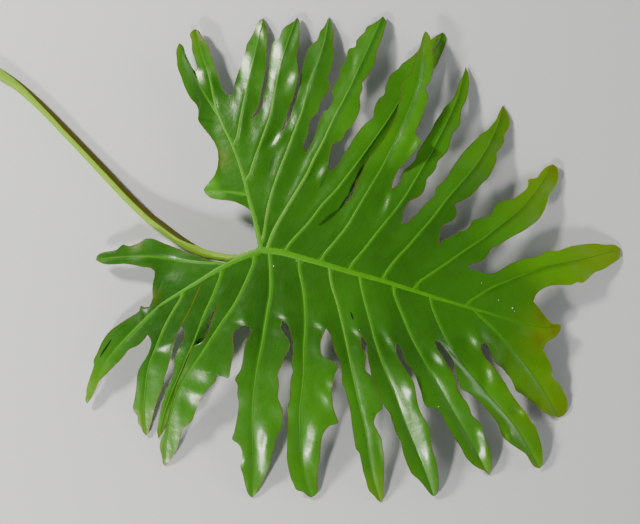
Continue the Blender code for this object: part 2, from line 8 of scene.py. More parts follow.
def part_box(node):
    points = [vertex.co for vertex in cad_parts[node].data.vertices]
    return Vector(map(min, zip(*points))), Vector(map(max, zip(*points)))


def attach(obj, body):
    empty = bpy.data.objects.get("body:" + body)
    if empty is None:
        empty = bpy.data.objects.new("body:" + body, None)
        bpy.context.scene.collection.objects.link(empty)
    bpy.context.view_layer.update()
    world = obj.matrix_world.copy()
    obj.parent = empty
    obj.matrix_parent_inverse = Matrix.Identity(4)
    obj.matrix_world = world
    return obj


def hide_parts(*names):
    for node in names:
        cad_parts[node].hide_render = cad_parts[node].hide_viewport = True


# one cut leaf of split-leaf philodendron, lying face up; plan sizes are millimetres from the joint of stalk
# and blade, and the frame's are metres
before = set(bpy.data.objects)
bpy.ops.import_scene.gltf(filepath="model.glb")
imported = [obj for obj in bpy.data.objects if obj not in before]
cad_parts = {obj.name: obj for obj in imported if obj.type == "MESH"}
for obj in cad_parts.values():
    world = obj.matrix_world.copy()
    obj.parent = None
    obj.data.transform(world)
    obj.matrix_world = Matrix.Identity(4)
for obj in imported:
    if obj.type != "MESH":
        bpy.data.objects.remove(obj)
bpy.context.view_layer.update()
mm = 0.001
fullTurn = 6.283

# where the joint of stalk and blade lies in the frame: the blade's solid reaches these far tips
farTips = {"right": 359.0, "up": 234.0}
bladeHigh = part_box("leaf_blade")[1]
joint = np.array([bladeHigh[0] - farTips["right"] * mm, bladeHigh[1] - farTips["up"] * mm, 0.0])

blade = {
    "thickness": 0.7,
    "domeHeight": 46.0, "domeCentre": (78.0, -14.0), "domeReach": (276.0, 262.0),
    "webBulge": 1.9,                        # how far a web swells below the midrib, and sinks above it
    "bulgeTurn": 18.0, "bulgeTilt": 0.27,   # how soon that turns over, and the midrib's fall
    "easeShare": 0.35,                      # share of a free lobe in which it takes its own fold and height
    "foldRoot": 1.7, "foldBend": 0.7,       # a fold is steep at the rib and flatter at the margin
    "webStep": 3.0, "freeStep": 2.3,
    "columns": (0.0, 0.04, 0.1, 0.2, 0.31, 0.43, 0.55, 0.67, 0.79, 0.9, 1.0),
    "ribGroove": 0.45, "grooveWidth": 2.8, "grooveRows": 4,
    "shadeRows": 12, "shadeAtRoot": 0.65,   # painted shade darkens the upper lobes on one side of their ribs
    "waveHeight": 1.15, "waveLength": 40.0, "waveFullWidth": 20.0,
    "wavePhase": (0, 6.28), "waveBeat": (0.8, 1.25), "waveSteady": 0.6, "waveDrift": 0.37,
    "webReach": 0.6, "byRib": 0.6,          # shares by which a web's and a margin's rows follow the rib
    "clearance": 0.05, "merged": 0.02, "thinnest": 0.01, "sharpAngle": 1.0, "mapScale": 0.01,
    "unevenness": 0.8, "unevennessSize": 44.0, "finer": 2.7, "fineShare": 0.4,
    "seed": 11,
}

mainRibs = {
    "upper": {"line": [(0, 0), (-3, 15), (-7, 32), (-12, 50), (-17, 70), (-24, 92), (-31, 109), (-38, 123),
                       (-45, 140)],
              "halfWidth": (2.6, 1.3), "mainTone": 0.35, "paleTone": 0.55},
    "mid": {"line": [(0, 0), (20, -2.5), (40, -8), (60, -13.5), (90, -22.5), (120, -30.5), (150, -40),
                     (185, -51), (219, -61)],
            "halfWidth": (3.4, 1.3), "mainTone": 1.0, "paleTone": 0.0},
    "lower": {"line": [(0, 0), (-10, -4), (-22, -9), (-36, -15.5), (-50, -23.5), (-62, -31), (-76, -39.5),
                       (-90, -48), (-103, -56)],
              "halfWidth": (3.0, 1.3), "mainTone": 0.6, "paleTone": 0.15},
}

# the lobes in turn, clockwise from the stalk: "rib" from its main rib to the tip, "out" the margin from the
# last notch to the tip, "back" from the tip to the next notch, "slope" how steeply the two halves rise,
# "lift" and "tip" heights, "split" where the next web starts between two ribs and "swell" how much of the
# web's bulge it has
lobes = {
    "t0": {
        "rib": [(-14, 55), (-28, 57), (-43, 58.5), (-58, 60)],
        "out": [(-10, 40), (-15.5, 42.5), (-20, 45), (-26, 47.5), (-33, 49), (-43, 50), (-51, 52),
            (-56, 56)],
        "back": [(-55.5, 64), (-50.5, 70), (-46, 76), (-44.5, 81), (-43.5, 87), (-43, 91), (-44, 99)],
        "slope": (0.05, 0.05), "lift": 0, "tip": 29, "swell": 0.5},
    "u1a": {
        "rib": [(-44, 134), (-53, 149), (-62, 164), (-70, 179), (-77, 192), (-83, 207)],
        "out": [(-45.5, 104), (-48.5, 109), (-52.5, 114.5), (-57, 120), (-61.5, 126), (-63.5, 130),
            (-63.2, 137), (-64, 142), (-66, 146), (-70, 150), (-73.5, 155.5), (-76.5, 161.5), (-79, 168),
            (-81, 174), (-84, 181.5), (-85, 190), (-85.6, 199)],
        "back": [(-80, 205), (-77.7, 202), (-76.8, 198), (-75, 193), (-72, 187), (-69, 181.5), (-66, 178)],
        "slope": (0.2, -0.12), "lift": 0, "tip": 13, "swell": 0.1},
    "u1b": {
        "rib": [(-45, 140), (-49, 158), (-53, 175), (-58, 190), (-62, 204), (-67, 221)],
        "out": [(-65, 181.5), (-66, 187), (-68, 193), (-70, 199), (-70.2, 205), (-70.6, 210), (-72.3, 215),
            (-70.5, 218.5)],
        "back": [(-64, 220), (-61.5, 217), (-59, 211.5), (-55.5, 207), (-53, 202), (-52, 197), (-49.5, 190),
            (-47, 183), (-44, 174.5), (-41, 165.5), (-37.7, 158.5), (-36, 155.5), (-33, 154)],
        "slope": (0.12, 0.0), "lift": 0, "tip": 8},
    "u2": {
        "rib": [(-26, 103), (-23, 118), (-20, 135), (-17, 150), (-14, 165), (-10, 182), (-6, 200),
            (-2, 217), (1, 232)],
        "out": [(-30, 155.5), (-28, 159), (-27.7, 165.5), (-26, 171), (-23.5, 178.5), (-20.5, 186),
            (-18.5, 192), (-16.5, 200), (-15.4, 205.5), (-12.3, 211), (-8.5, 217.7), (-6, 224), (-4, 228.5),
            (-1, 231)],
        "back": [(2.7, 228.5), (4.2, 224), (5.2, 216), (4.8, 205.5), (4.2, 194), (4.4, 188.5), (4.3, 180),
            (2.5, 173), (1.6, 166), (-0.8, 157), (-1.6, 151), (-2.8, 144.5), (-5.6, 138.5), (-11, 131)],
        "slope": (-0.2, -0.05), "lift": 1, "tip": 0},
    "u3": {
        "rib": [(-13, 68), (-10, 80), (-5, 95), (0, 109), (5, 123), (10, 138), (13, 156), (17, 176),
            (22, 196), (28, 214), (35, 233)],
        "out": [(-3, 137), (0.5, 144), (1, 151), (1.9, 156), (4.7, 165), (5.7, 172), (7.2, 180),
            (7.2, 188.4), (7.9, 193), (8.6, 198.5), (10, 204.7), (12.3, 209.3), (16.8, 211.5),
            (18.6, 215.6), (20, 219.7), (23.6, 224), (28, 226.5), (32.3, 229.3)],
        "back": [(37.3, 230), (37.7, 225.6), (37.5, 218.4), (37.3, 211), (36.8, 204), (35.4, 198.4),
            (34.8, 192), (35.4, 185.6), (36.5, 180), (35.6, 170), (34, 162), (31.5, 152), (28, 143),
            (24.2, 131), (21, 122), (17, 116)],
        "slope": (-0.2, 0.0), "lift": -1, "tip": 4},
    "u4": {
        "rib": [(1, 6), (4, 28), (8, 48), (14, 68), (20, 84), (27, 102), (34, 121), (40, 137), (45, 155),
            (50, 172), (57, 190), (63, 210), (67, 233)],
        "out": [(24.5, 124), (27.5, 131), (31, 141), (34.5, 151), (36.8, 161), (38.4, 170), (39.5, 178),
            (41.4, 185.6), (42.7, 192), (45, 198.4), (47.3, 203), (51, 207), (55, 209.7), (56.8, 213.8),
            (58.2, 219.3), (61.8, 223), (64, 227), (65.5, 231)],
        "back": [(69, 230), (70.5, 224), (71.4, 215.6), (71, 209), (71, 204), (72.3, 198.4), (71.4, 191),
            (70, 183), (67.7, 176.5), (65.6, 171), (67.7, 164.7), (65.5, 157.5), (61, 151), (58, 145.6),
            (56.4, 138.4), (51.8, 133), (47.7, 128.4), (46.6, 119), (45, 112), (42, 107), (41.2, 102.7),
            (44, 97)],
        "slope": (-0.2, -0.02), "lift": 1, "tip": 0},
    "u5": {
        "rib": [(6, 3), (13, 20), (22, 36), (34, 56), (45, 75), (52, 90), (60, 105), (67, 120), (74, 135),
            (82, 150), (90, 166), (98, 184), (107, 203), (121, 234)],
        "out": [(49, 105.5), (51.6, 111), (54.4, 119), (57, 127), (60, 133.6), (62, 138), (66.2, 140),
            (68, 144.5), (70.5, 147.5), (70.5, 153), (69.8, 158.4), (71.8, 164), (75.5, 170), (77.3, 175.6),
            (78.6, 182), (82.3, 186.5), (84.5, 193), (86.8, 201), (93.2, 203), (94.5, 210), (99, 214.7),
            (102.7, 218.4), (104.5, 223), (111, 226.5), (116.4, 230)],
        "back": [(124.7, 228.4), (123.2, 223), (121.4, 215.6), (118.6, 208.4), (116, 202), (114, 196.5),
            (113.6, 188.4), (111, 183), (107.3, 176.5), (102.7, 170), (100, 166.5), (100.5, 161), (98, 153),
            (98, 142), (96, 134.7), (90.3, 124), (84.4, 118), (81.2, 111), (77, 107.7), (71.2, 105.5),
            (69.4, 101.8), (68, 94.5), (66.2, 86.4), (66, 82), (69, 79)],
        "slope": (-0.18, 0.02), "lift": 2, "tip": 3},
    "u6": {
        "rib": [(22, 0), (35, 14), (48, 28), (60, 44), (74, 59), (88, 77), (100, 93), (110, 107),
            (120, 121), (131, 138), (143, 158), (155, 178), (168, 198), (181, 218)],
        "out": [(73, 82), (77, 87.3), (81.2, 94.5), (86.2, 102), (90.7, 110), (95.3, 116.4), (99.8, 122.7),
            (105, 127.3), (110.7, 131.5), (111.6, 139.5), (114.4, 147), (117, 151.4), (122, 155),
            (123, 162.3), (125.7, 169.5), (129.4, 176), (135.7, 180.5), (139.8, 186), (144.8, 189.5),
            (149.8, 193), (155.3, 198.6), (162, 205), (169.4, 210.5), (173.5, 214)],
        "back": [(184.2, 213), (183.5, 206), (181.2, 199.5), (178, 192.3), (175.3, 186), (172.5, 181.4),
            (166, 172), (158, 160), (149, 146), (139, 129.5), (128, 113), (117, 98), (107, 84), (99, 72.5),
            (92, 62), (86, 53), (81, 45)],
        "slope": (-0.05, -0.32), "lift": -3, "tip": 0},
    "u7": {
        "rib": [(58, -9), (72, 7), (85, 23), (95, 40), (105, 57), (115, 74), (124, 90), (131, 105),
            (139, 122), (146, 138), (152, 153), (157, 172), (160, 195), (163, 219)],
        "out": [(88, 52), (92, 60), (96.5, 70), (100, 78), (103.5, 86), (107, 92), (113, 99), (118, 106),
            (122, 111), (127, 120), (131.6, 130), (134.4, 137.5), (136.2, 145), (137.5, 149.5),
            (138, 161.4), (139, 166), (141.6, 170), (145.3, 173), (149, 177.7), (150.7, 184),
            (152.5, 188.6), (154, 195), (156.2, 199.5), (158.5, 205), (160.2, 212)],
        "back": [(165.7, 217), (168, 213), (169.8, 205), (171.2, 195), (172, 185), (170.7, 177.7),
            (168, 169.5), (163, 160.3), (165.3, 156), (165.7, 152.3), (164, 145), (161.6, 137.7),
            (159, 130.5), (155.7, 123), (153, 116.5), (154.4, 113), (159, 107.7), (156.2, 102.7),
            (152.5, 98.2), (146.2, 91), (139.4, 82.7), (135.3, 79), (133, 73.6), (130.3, 66), (129, 61)],
        "slope": (0.02, 0.18), "lift": 6, "tip": 12},
    "u8": {
        "rib": [(86, -18), (100, -2), (115, 17), (127, 32), (138, 46), (149, 63), (160, 82), (169, 98),
            (178, 115), (187, 133), (195, 151), (204, 184)],
        "out": [(135.3, 64.5), (138, 68.2), (139.8, 75.5), (142.5, 80), (148, 84.5), (153.4, 91),
            (154.5, 96.4), (158.5, 103), (162, 108.2), (165.3, 113.6), (169, 119), (172.5, 126.8),
            (178, 135), (182.5, 142.3), (187, 146.8), (191.6, 152.3), (194.4, 158.6), (196.6, 166),
            (199.4, 171.4), (202, 177)],
        "back": [(206.2, 177.7), (207.5, 168.6), (206.2, 158.6), (204, 149.5), (199.8, 141.4), (198.5, 134),
            (198, 126.8), (195.3, 121.4), (189.8, 115), (188, 107.5), (185.7, 100), (180.3, 93.2),
            (175.3, 88.2), (173.5, 81.8), (170.3, 76.4), (164.8, 71), (163, 63.6), (160.3, 56.8),
            (154.4, 51.8), (148, 49), (142.5, 41.8), (140.3, 35.5), (139, 26)],
        "slope": (-0.2, -0.08), "lift": 1, "tip": 2},
    "u9": {
        "rib": [(120, -27), (134, -9), (147, 5), (160, 20), (172, 34), (184, 50), (197, 65), (209, 79),
            (220, 94), (229, 110), (236, 126), (241, 145)],
        "out": [(145.3, 27.5), (149, 31.4), (154.4, 35.5), (158, 40.5), (163.4, 46.4), (169, 51),
            (172.5, 55.5), (173.5, 61.8), (179.8, 67.3), (185.3, 73.6), (189.8, 81.8), (195.3, 90),
            (201.6, 98.2), (209, 106), (215, 112), (219.8, 116.5), (225.3, 120), (229.8, 125), (234, 130),
            (236.5, 136)],
        "back": [(245.7, 137), (248.2, 128), (246, 120.5), (242.5, 116), (242, 108), (239, 102),
            (234.8, 97.5), (234.3, 89), (230.7, 81), (225.7, 71.8), (219, 65.5), (213.4, 59), (208, 53.8),
            (199.8, 49), (192.5, 45), (194.4, 37), (190.8, 30), (180.7, 24.2), (178, 20.5), (177.6, 14.5),
            (176, 6)],
        "slope": (-0.2, -0.1), "lift": 2, "tip": 0},
    "u10": {
        "rib": [(151, -35), (168, -24), (186, -12), (203, 0), (220, 11), (238, 25), (254, 37), (267, 50),
            (279, 66), (291, 86)],
        "out": [(180, 9.5), (186, 12.3), (195.3, 17.3), (202, 19.5), (207.2, 24), (210, 29), (218, 31.8),
            (226, 34), (230, 38.2), (233.2, 45.2), (240.5, 49), (250.4, 50.6), (257, 55.5), (264.7, 61.7),
            (266.3, 66.7), (266, 70.6), (274.7, 72.2), (279.7, 79), (284.7, 83.3)],
        "back": [(294.7, 84.4), (296.3, 79), (295.8, 69), (292, 61), (287.4, 55.6), (285.2, 47.8),
            (282, 39), (277, 31), (269, 24.4), (259.7, 18.3), (251.3, 14), (242.4, 9), (234.7, 4),
            (228, 0.6), (225.8, -4.4), (220.2, -10), (214.7, -12.8), (208, -14.4), (205, -18)],
        "slope": (-0.16, -0.05), "lift": 1, "tip": 4},
    "u11": {
        "rib": [(203, -53), (215, -46), (230, -37), (247, -30), (265, -23), (285, -16.5), (305, -12.5),
            (325, -8), (345, -3), (359, 1)],
        "out": [(208, -19.8), (213, -19.8), (219, -22.2), (225.8, -23.6), (232.4, -22.8), (239, -19),
            (247, -14.4), (255.8, -10.6), (264.7, -7.8), (273.6, -6.7), (284.7, -1), (295.8, -0.6),
            (302.4, 1.7), (311.3, 4.4), (320, 5.6), (331.3, 6.7), (342.4, 5.6), (354, 5)],
        "back": [(358.5, -8), (351.3, -13.3), (342.4, -19), (332.4, -22.8), (325.8, -29), (320, -32.8),
            (314.7, -32.3), (309, -35), (295.8, -35), (287, -36), (280, -39), (274, -44), (271, -51)],
        "slope": (-0.06, 0.08), "lift": 2, "tip": 0},
    "t": {
        "rib": [(219, -61), (240, -67), (262, -74), (280, -77), (299, -76)],
        "out": [(273, -54), (277, -59), (282, -65), (287, -71), (290, -73.5), (296, -74)],
        "back": [(298, -81), (292, -88), (286, -91), (282.5, -95), (281, -100)],
        "slope": (-0.05, 0.02), "lift": 0, "tip": 13},
    "l11": {
        "rib": [(211, -61), (224, -72), (237, -85), (250, -99), (262, -113), (273, -128), (283, -143),
            (297, -168)],
        "out": [(284, -105), (288, -113), (290, -120), (289.5, -125), (293, -130), (298.5, -135.5),
            (302, -142), (305.5, -150), (305.8, -158), (303, -165)],
        "back": [(291, -166.5), (284, -163.5), (278, -159), (272, -153), (265, -148), (258, -143),
            (254, -141), (252, -136), (248, -128), (244, -123), (240, -118), (235, -114.5), (231, -110),
            (229, -103), (225, -96), (222.5, -93), (219, -94)],
        "slope": (0.1, 0.1), "lift": 2, "tip": 0},
    "l10": {
        "rib": [(166, -47), (170, -58), (177, -75), (185, -91), (194, -105), (205, -120), (218, -136),
            (230, -150), (242, -163), (254, -178), (265, -196), (278, -219)],
        "out": [(218, -98), (219.5, -102), (222.5, -107), (228, -113), (233, -119), (238, -126),
            (243, -133), (246, -139), (250, -145), (255, -152), (260.5, -158.8), (265, -164), (268.6, -171),
            (273, -175.6), (276, -184), (279.3, -195), (281, -206), (281, -214)],
        "back": [(272.4, -217), (268, -211), (263.6, -204), (257, -199.4), (249, -194), (241, -187),
            (237.4, -179), (234, -171), (228, -164), (220.5, -155), (213, -147.5), (205.5, -142),
            (198.6, -138), (196, -131), (193, -121), (192, -113), (187.5, -104.5), (181.5, -97),
            (177, -91.5), (173, -89)],
        "slope": (0.16, 0.2), "lift": 2, "tip": 2},
    "l9": {
        "rib": [(129, -36), (134, -50), (141, -67), (149, -86), (158, -103), (168, -121), (178, -138),
            (188, -156), (198, -173), (207, -189), (216, -205), (227, -226)],
        "out": [(172.6, -93.5), (176, -100), (181, -108), (186, -116), (191, -123), (194, -131),
            (194.5, -137), (199, -145), (205.5, -153.8), (210, -165), (216.8, -172), (220.5, -178.8),
            (222.4, -188.8), (227.4, -198.8), (230, -208.8), (230, -217.5)],
        "back": [(225, -222), (218, -219.4), (210.5, -214.4), (204, -207.5), (198, -196), (190.5, -185),
            (183, -172.5), (178, -162.5), (171.8, -157.5), (164, -156), (161, -151), (159, -142.5),
            (155.5, -132.5), (151.8, -122.5), (148, -116), (143.6, -112.5), (140.5, -102.5), (136.8, -95),
            (134, -93)],
        "slope": (0.22, 0.14), "lift": 2, "tip": 0},
    "l8": {
        "rib": [(97, -25), (101, -45), (107, -67), (112, -87), (118, -106), (126, -127), (133, -144),
            (139, -161), (146, -180), (153, -196), (161, -215), (172, -247)],
        "out": [(133.6, -99), (134.6, -104), (139, -112.5), (145.5, -122.5), (151, -131), (153, -140),
            (155, -151), (158, -161), (163, -170), (167.4, -177.5), (168, -187.5), (170.5, -200),
            (174, -211), (176, -224), (176.8, -237.5), (175, -244)],
        "back": [(169, -245), (163, -237.5), (156.8, -230), (150, -224), (145.5, -215), (141, -202.5),
            (138, -190), (134, -183), (130.5, -172.5), (127.3, -162.5), (123, -157), (118.5, -150),
            (115, -142), (111.5, -133), (108.8, -124), (107.3, -116), (105.6, -108), (104.9, -102),
            (104.6, -96), (102.5, -90), (99, -86)],
        "slope": (0.26, 0.12), "lift": 3, "tip": 2},
    "l7": {
        "rib": [(67, -20), (70, -36), (75, -52), (80, -72), (84, -90), (88, -110), (92, -130), (96, -148),
            (101, -168), (105, -188), (108, -210), (112, -232), (119, -253)],
        "out": [(99.3, -93), (100, -98), (102.8, -102), (103.8, -106), (103, -110), (102.4, -116),
            (104, -121), (108.5, -124.5), (112.4, -133), (116.4, -142), (119.2, -149), (120.5, -154),
            (120, -157.5), (118, -160.6), (115, -162.5), (112.5, -168), (111.8, -172.5), (113, -176),
            (116, -182), (119, -187.5), (120.5, -197), (122, -206), (122, -220), (121.8, -235),
            (122, -246)],
        "back": [(115, -250), (112, -246), (107, -241), (104, -231), (101, -221), (99, -211), (96.8, -202),
            (94, -198.8), (92, -189), (90, -176), (88.6, -164), (86, -151), (83, -140), (80, -132),
            (79.5, -120), (78, -111), (75.5, -106), (73, -100), (70.5, -92.5), (67.5, -83), (64, -78)],
        "slope": (0.1, 0.1), "lift": 2, "tip": 0},
    "l6": {
        "rib": [(36, -12), (39, -27), (42, -42), (43.5, -62), (43.5, -80), (42, -100), (42, -120),
            (40, -140), (38, -160), (38, -180), (39, -200), (42, -222), (49, -248)],
        "out": [(60.5, -86), (58.6, -93), (58.8, -99), (60, -105), (66.8, -108.8), (73, -112.5), (76, -117),
            (74, -121), (71.8, -126), (71, -134), (69, -139), (70.5, -147.5), (71, -156), (73, -162.5),
            (75, -167.5), (75.8, -173), (68, -175), (64, -179), (61, -184), (59, -192.5), (58.6, -202.5),
            (57.4, -212.5), (55.8, -220), (55.5, -232.5), (55, -244)],
        "back": [(45.5, -246), (41, -242.5), (34, -240), (31.8, -235), (29, -229), (26.8, -220), (25, -210),
            (25, -197.5), (25.5, -187.5), (26, -175), (25.5, -162.5), (26, -155), (28, -147.5),
            (28, -137.5), (29, -127.5), (31, -121), (29.5, -114), (30, -109), (31, -101), (31, -94),
            (30.7, -89.4), (29, -83.3), (27, -76.7), (23.5, -71.5), (21, -70)],
        "slope": (-0.04, 0.1), "lift": 3, "tip": 2},
    "l5": {
        "rib": [(8, -4), (9, -22), (9, -42), (6, -60), (3, -78), (0, -96), (-4, -115), (-7, -135),
            (-9, -155), (-9.5, -175), (-9, -200), (-9, -225), (-10, -248)],
        "out": [(19.2, -77), (22.4, -83.3), (26, -87.5), (28, -91.5), (28.2, -95), (27.4, -99.4),
            (23, -106), (20, -115), (16.8, -121), (15.5, -125.6), (16.8, -130), (17, -137.5), (16, -145),
            (17.4, -151), (20, -157.5), (21, -162.5), (20.5, -171), (19, -180), (16, -183), (13.6, -191),
            (11, -201), (7.4, -215), (3, -226), (-0.8, -235), (-4.5, -242.5)],
        "back": [(-13, -246), (-16.4, -237.5), (-19.5, -224), (-21.8, -215.6), (-20, -209), (-20, -201),
            (-23, -194.4), (-27.6, -191), (-30, -188.8), (-28, -182.5), (-25.8, -172.5), (-24, -162.5),
            (-23, -152.5), (-24.5, -142.5), (-24, -134), (-26.8, -129.4), (-25, -125), (-21.4, -120),
            (-19, -109), (-17.6, -98.8), (-15.5, -90.5), (-11.5, -83.3), (-11, -79), (-13, -76.7),
            (-17, -75)],
        "slope": (-0.06, 0.1), "lift": 3, "tip": 0},
    "l4": {
        "rib": [(-5, -6), (-11, -21), (-19, -39), (-28, -56), (-38, -70), (-48, -85), (-58, -101),
            (-69, -117), (-78, -131), (-85, -145), (-90, -160), (-94, -177), (-96, -195), (-97, -216)],
        "out": [(-21, -76.7), (-26.4, -80), (-28.7, -83.3), (-28.5, -90), (-27.6, -100), (-29.8, -112),
            (-31.4, -121), (-33, -127.8), (-36.4, -127.2), (-42.6, -124.4), (-44.8, -125.6), (-46, -130.6),
            (-49.2, -134.4), (-56, -141), (-61.4, -148), (-63.7, -155.6), (-67, -163), (-69.8, -171),
            (-73.7, -174.4), (-78.7, -179), (-81, -185.6), (-83, -192), (-86, -201), (-90.3, -208)],
        "back": [(-99, -215), (-100.3, -208), (-102.6, -196.7), (-101.4, -190), (-98, -183),
            (-95.9, -175.6), (-93.7, -166.7), (-91.4, -155.6), (-88, -146), (-85, -134), (-80.3, -124),
            (-76, -114), (-72, -104), (-70, -97), (-61, -92.5), (-55, -85), (-50, -70), (-44, -54)],
        "slope": (-0.06, 0.0), "lift": 6, "tip": 0, "swell": 0.4},
    "l3": {
        "rib": [(-38, -19), (-43, -32), (-49, -47), (-56, -62), (-62, -77), (-68, -92), (-75, -107),
            (-81, -121), (-87, -135), (-93, -150), (-98, -166), (-104, -189)],
        "out": [(-50.5, -65), (-54, -78), (-60, -94), (-66, -110), (-74, -128), (-83, -146), (-91, -160),
            (-97, -175), (-101, -185)],
        "back": [(-105, -183), (-104.2, -172), (-102, -162), (-99.8, -153), (-97.6, -148), (-97, -141),
            (-92.6, -134.4), (-89.2, -126.7), (-87.6, -116.7), (-87, -108), (-83.7, -100), (-79.2, -92),
            (-77.5, -85), (-78, -80), (-80, -75)],
        "slope": (-0.3, 0.05), "lift": -4, "tip": 0, "swell": 0.5},
    "l2": {
        "rib": [(-76, -42), (-84, -54), (-92, -67), (-99, -81), (-105, -95), (-111, -110), (-115, -126),
            (-117, -145), (-118, -163), (-116, -186)],
        "out": [(-81.8, -79), (-84.8, -83), (-86.4, -92), (-89.2, -102), (-92, -111), (-94.8, -121),
            (-98, -130), (-99.2, -137.8), (-102, -144.4), (-104.8, -152), (-106.4, -156.7), (-108.7, -163),
            (-110.3, -171), (-113, -179), (-114, -184)],
        "back": [(-119, -183), (-121, -178), (-124.2, -173), (-124.8, -166.7), (-129.2, -159), (-128, -151),
            (-126.4, -142), (-125.3, -132), (-124.2, -123), (-120.3, -114.4), (-116, -107.8),
            (-112.6, -101), (-110.6, -94.4), (-111.2, -89), (-114, -85)],
        "slope": (-0.12, 0.08), "lift": 2, "tip": 2, "swell": 0.6},
    "l1": {
        "rib": [(-103, -56), (-113, -66), (-124, -77), (-135, -88), (-147, -101), (-157, -114),
            (-165, -129), (-175, -154)],
        "out": [(-118, -90), (-123.5, -95.3), (-132.5, -99.5), (-139.2, -107.8), (-147, -115.6),
            (-156, -124.4), (-162.6, -131), (-167.6, -142), (-171.4, -149)],
        "back": [(-177, -150), (-176, -145.6), (-175.6, -139), (-172.6, -129), (-169.8, -121),
            (-168, -114.4), (-168.7, -111), (-167, -107), (-164, -101), (-161, -94), (-157, -87),
            (-151, -80), (-144, -75), (-137, -70), (-130, -66), (-125, -63), (-122, -60), (-121, -55.5),
            (-118, -57), (-112, -56.5)],
        "slope": (0.05, -0.02), "lift": 2, "tip": 6, "split": 0.15},
    "l0": {
        "rib": [(-36, -13), (-50, -13), (-70, -11.5), (-90, -8.5), (-110, -6.5), (-130, -6.5), (-148, -7.5),
            (-166, -10)],
        "out": [(-109.5, -54), (-109, -49), (-108.8, -42), (-109.5, -37), (-108, -30), (-106, -23),
            (-110, -18.5), (-115, -17.4), (-120, -17), (-128, -15), (-138, -14), (-148, -14.6),
            (-158, -14)],
        "back": [(-165, -6), (-160, -2.5), (-152, -1), (-146, 0), (-142, 3), (-139, 5.5), (-132, 4),
            (-126, 6), (-121, 8), (-117, 11), (-110, 11.5), (-105, 10), (-97, 6.5), (-90, 4), (-83, 1),
            (-76, -1.8), (-69, -4.6), (-62, -7), (-50, -11.3), (-42, -12.4)],
        "slope": (-0.03, 0.02), "lift": 0, "tip": 10},
}

# lines in plan


class Line:
    def __init__(self, points):
        self.points = np.array(points, float)
        steps = np.linalg.norm(np.diff(self.points, axis=0), axis=1)
        self.marks = np.concatenate([[0.0], np.cumsum(steps)])
        self.length = self.marks[-1]

    def at(self, distances):
        return np.stack([np.interp(distances, self.marks, column) for column in self.points.T], axis=-1)

    def station(self, point):
        runs = np.diff(self.points, axis=0)
        share = np.einsum("ij,ij->i", point - self.points[:-1], runs) / np.einsum("ij,ij->i", runs, runs)
        share = np.clip(share, 0.0, 1.0)
        gaps = np.linalg.norm(self.points[:-1] + share[:, None] * runs - point, axis=1)
        nearest = np.argmin(gaps)
        return self.marks[nearest] + share[nearest] * np.linalg.norm(runs[nearest])

    def sides(self, distances):
        ahead = self.at(np.minimum(distances + 1.0, self.length))
        run = ahead - self.at(np.maximum(distances - 1.0, 0.0))
        run = run / np.linalg.norm(run, axis=-1, keepdims=True)
        return np.stack([-run[..., 1], run[..., 0]], axis=-1)


def smoothLine(points, samples=8):
    # centripetal Catmull-Rom, which keeps close to uneven points
    given = [np.array(p, float) for p in points]
    given = [2 * given[0] - given[1], *given, 2 * given[-1] - given[-2]]
    made = []
    for a, b, c, d in zip(given, given[1:], given[2:], given[3:]):
        t1 = np.linalg.norm(b - a) ** 0.5
        t2 = t1 + np.linalg.norm(c - b) ** 0.5
        t3 = t2 + np.linalg.norm(d - c) ** 0.5
        t = np.linspace(t1, t2, samples, endpoint=False)[:, None]
        ab = a + (b - a) * t / t1
        bc = b + (c - b) * (t - t1) / (t2 - t1)
        cd = c + (d - c) * (t - t2) / (t3 - t2)
        abc = ab + (bc - ab) * t / t2
        bcd = bc + (cd - bc) * (t - t1) / (t3 - t1)
        made.append(abc + (bcd - abc) * (t - t1) / (t2 - t1))
    return np.vstack([*made, given[-2]])


def ease(share):
    share = np.clip(share, 0.0, 1.0)
    return share * share * (3.0 - 2.0 * share)


def domeAt(points):
    away = (points - blade["domeCentre"]) / np.array(blade["domeReach"])
    return blade["domeHeight"] * (1.0 - (away ** 2).sum(-1))


def unevenAt(points):
    # broad and fine swells by place alone, so that they match wherever two sheets meet
    finer, swells = blade["finer"], []
    for x, y in points.reshape(-1, 2) / blade["unevennessSize"]:
        fine = noise.noise(Vector((finer * x, finer * y, 9.1)))
        swells.append(noise.noise(Vector((x, y, 3.7))) + blade["fineShare"] * fine)
    return blade["unevenness"] * np.array(swells).reshape(points.shape[:-1])


# the narrow band round the three main ribs, that the lobes start from

band = {"widths": {"upper": (3.0, 1.0), "mid": (3.6, 1.2), "lower": (3.0, 1.0)}, "clear": 3.6, "step": 4.0}


def bandOutline():
    outline = []
    for name, rib in mainRibs.items():
        line = Line(smoothLine(rib["line"]))
        stations = np.linspace(band["clear"], line.length - band["step"], round(line.length / band["step"]))
        widths = np.interp(stations, (0, line.length), band["widths"][name])[:, None]
        centres, offsets = line.at(stations), line.sides(stations) * widths
        outline += [*(centres + offsets), line.at(line.length), *(centres - offsets)[::-1]]
    return Line(outline)


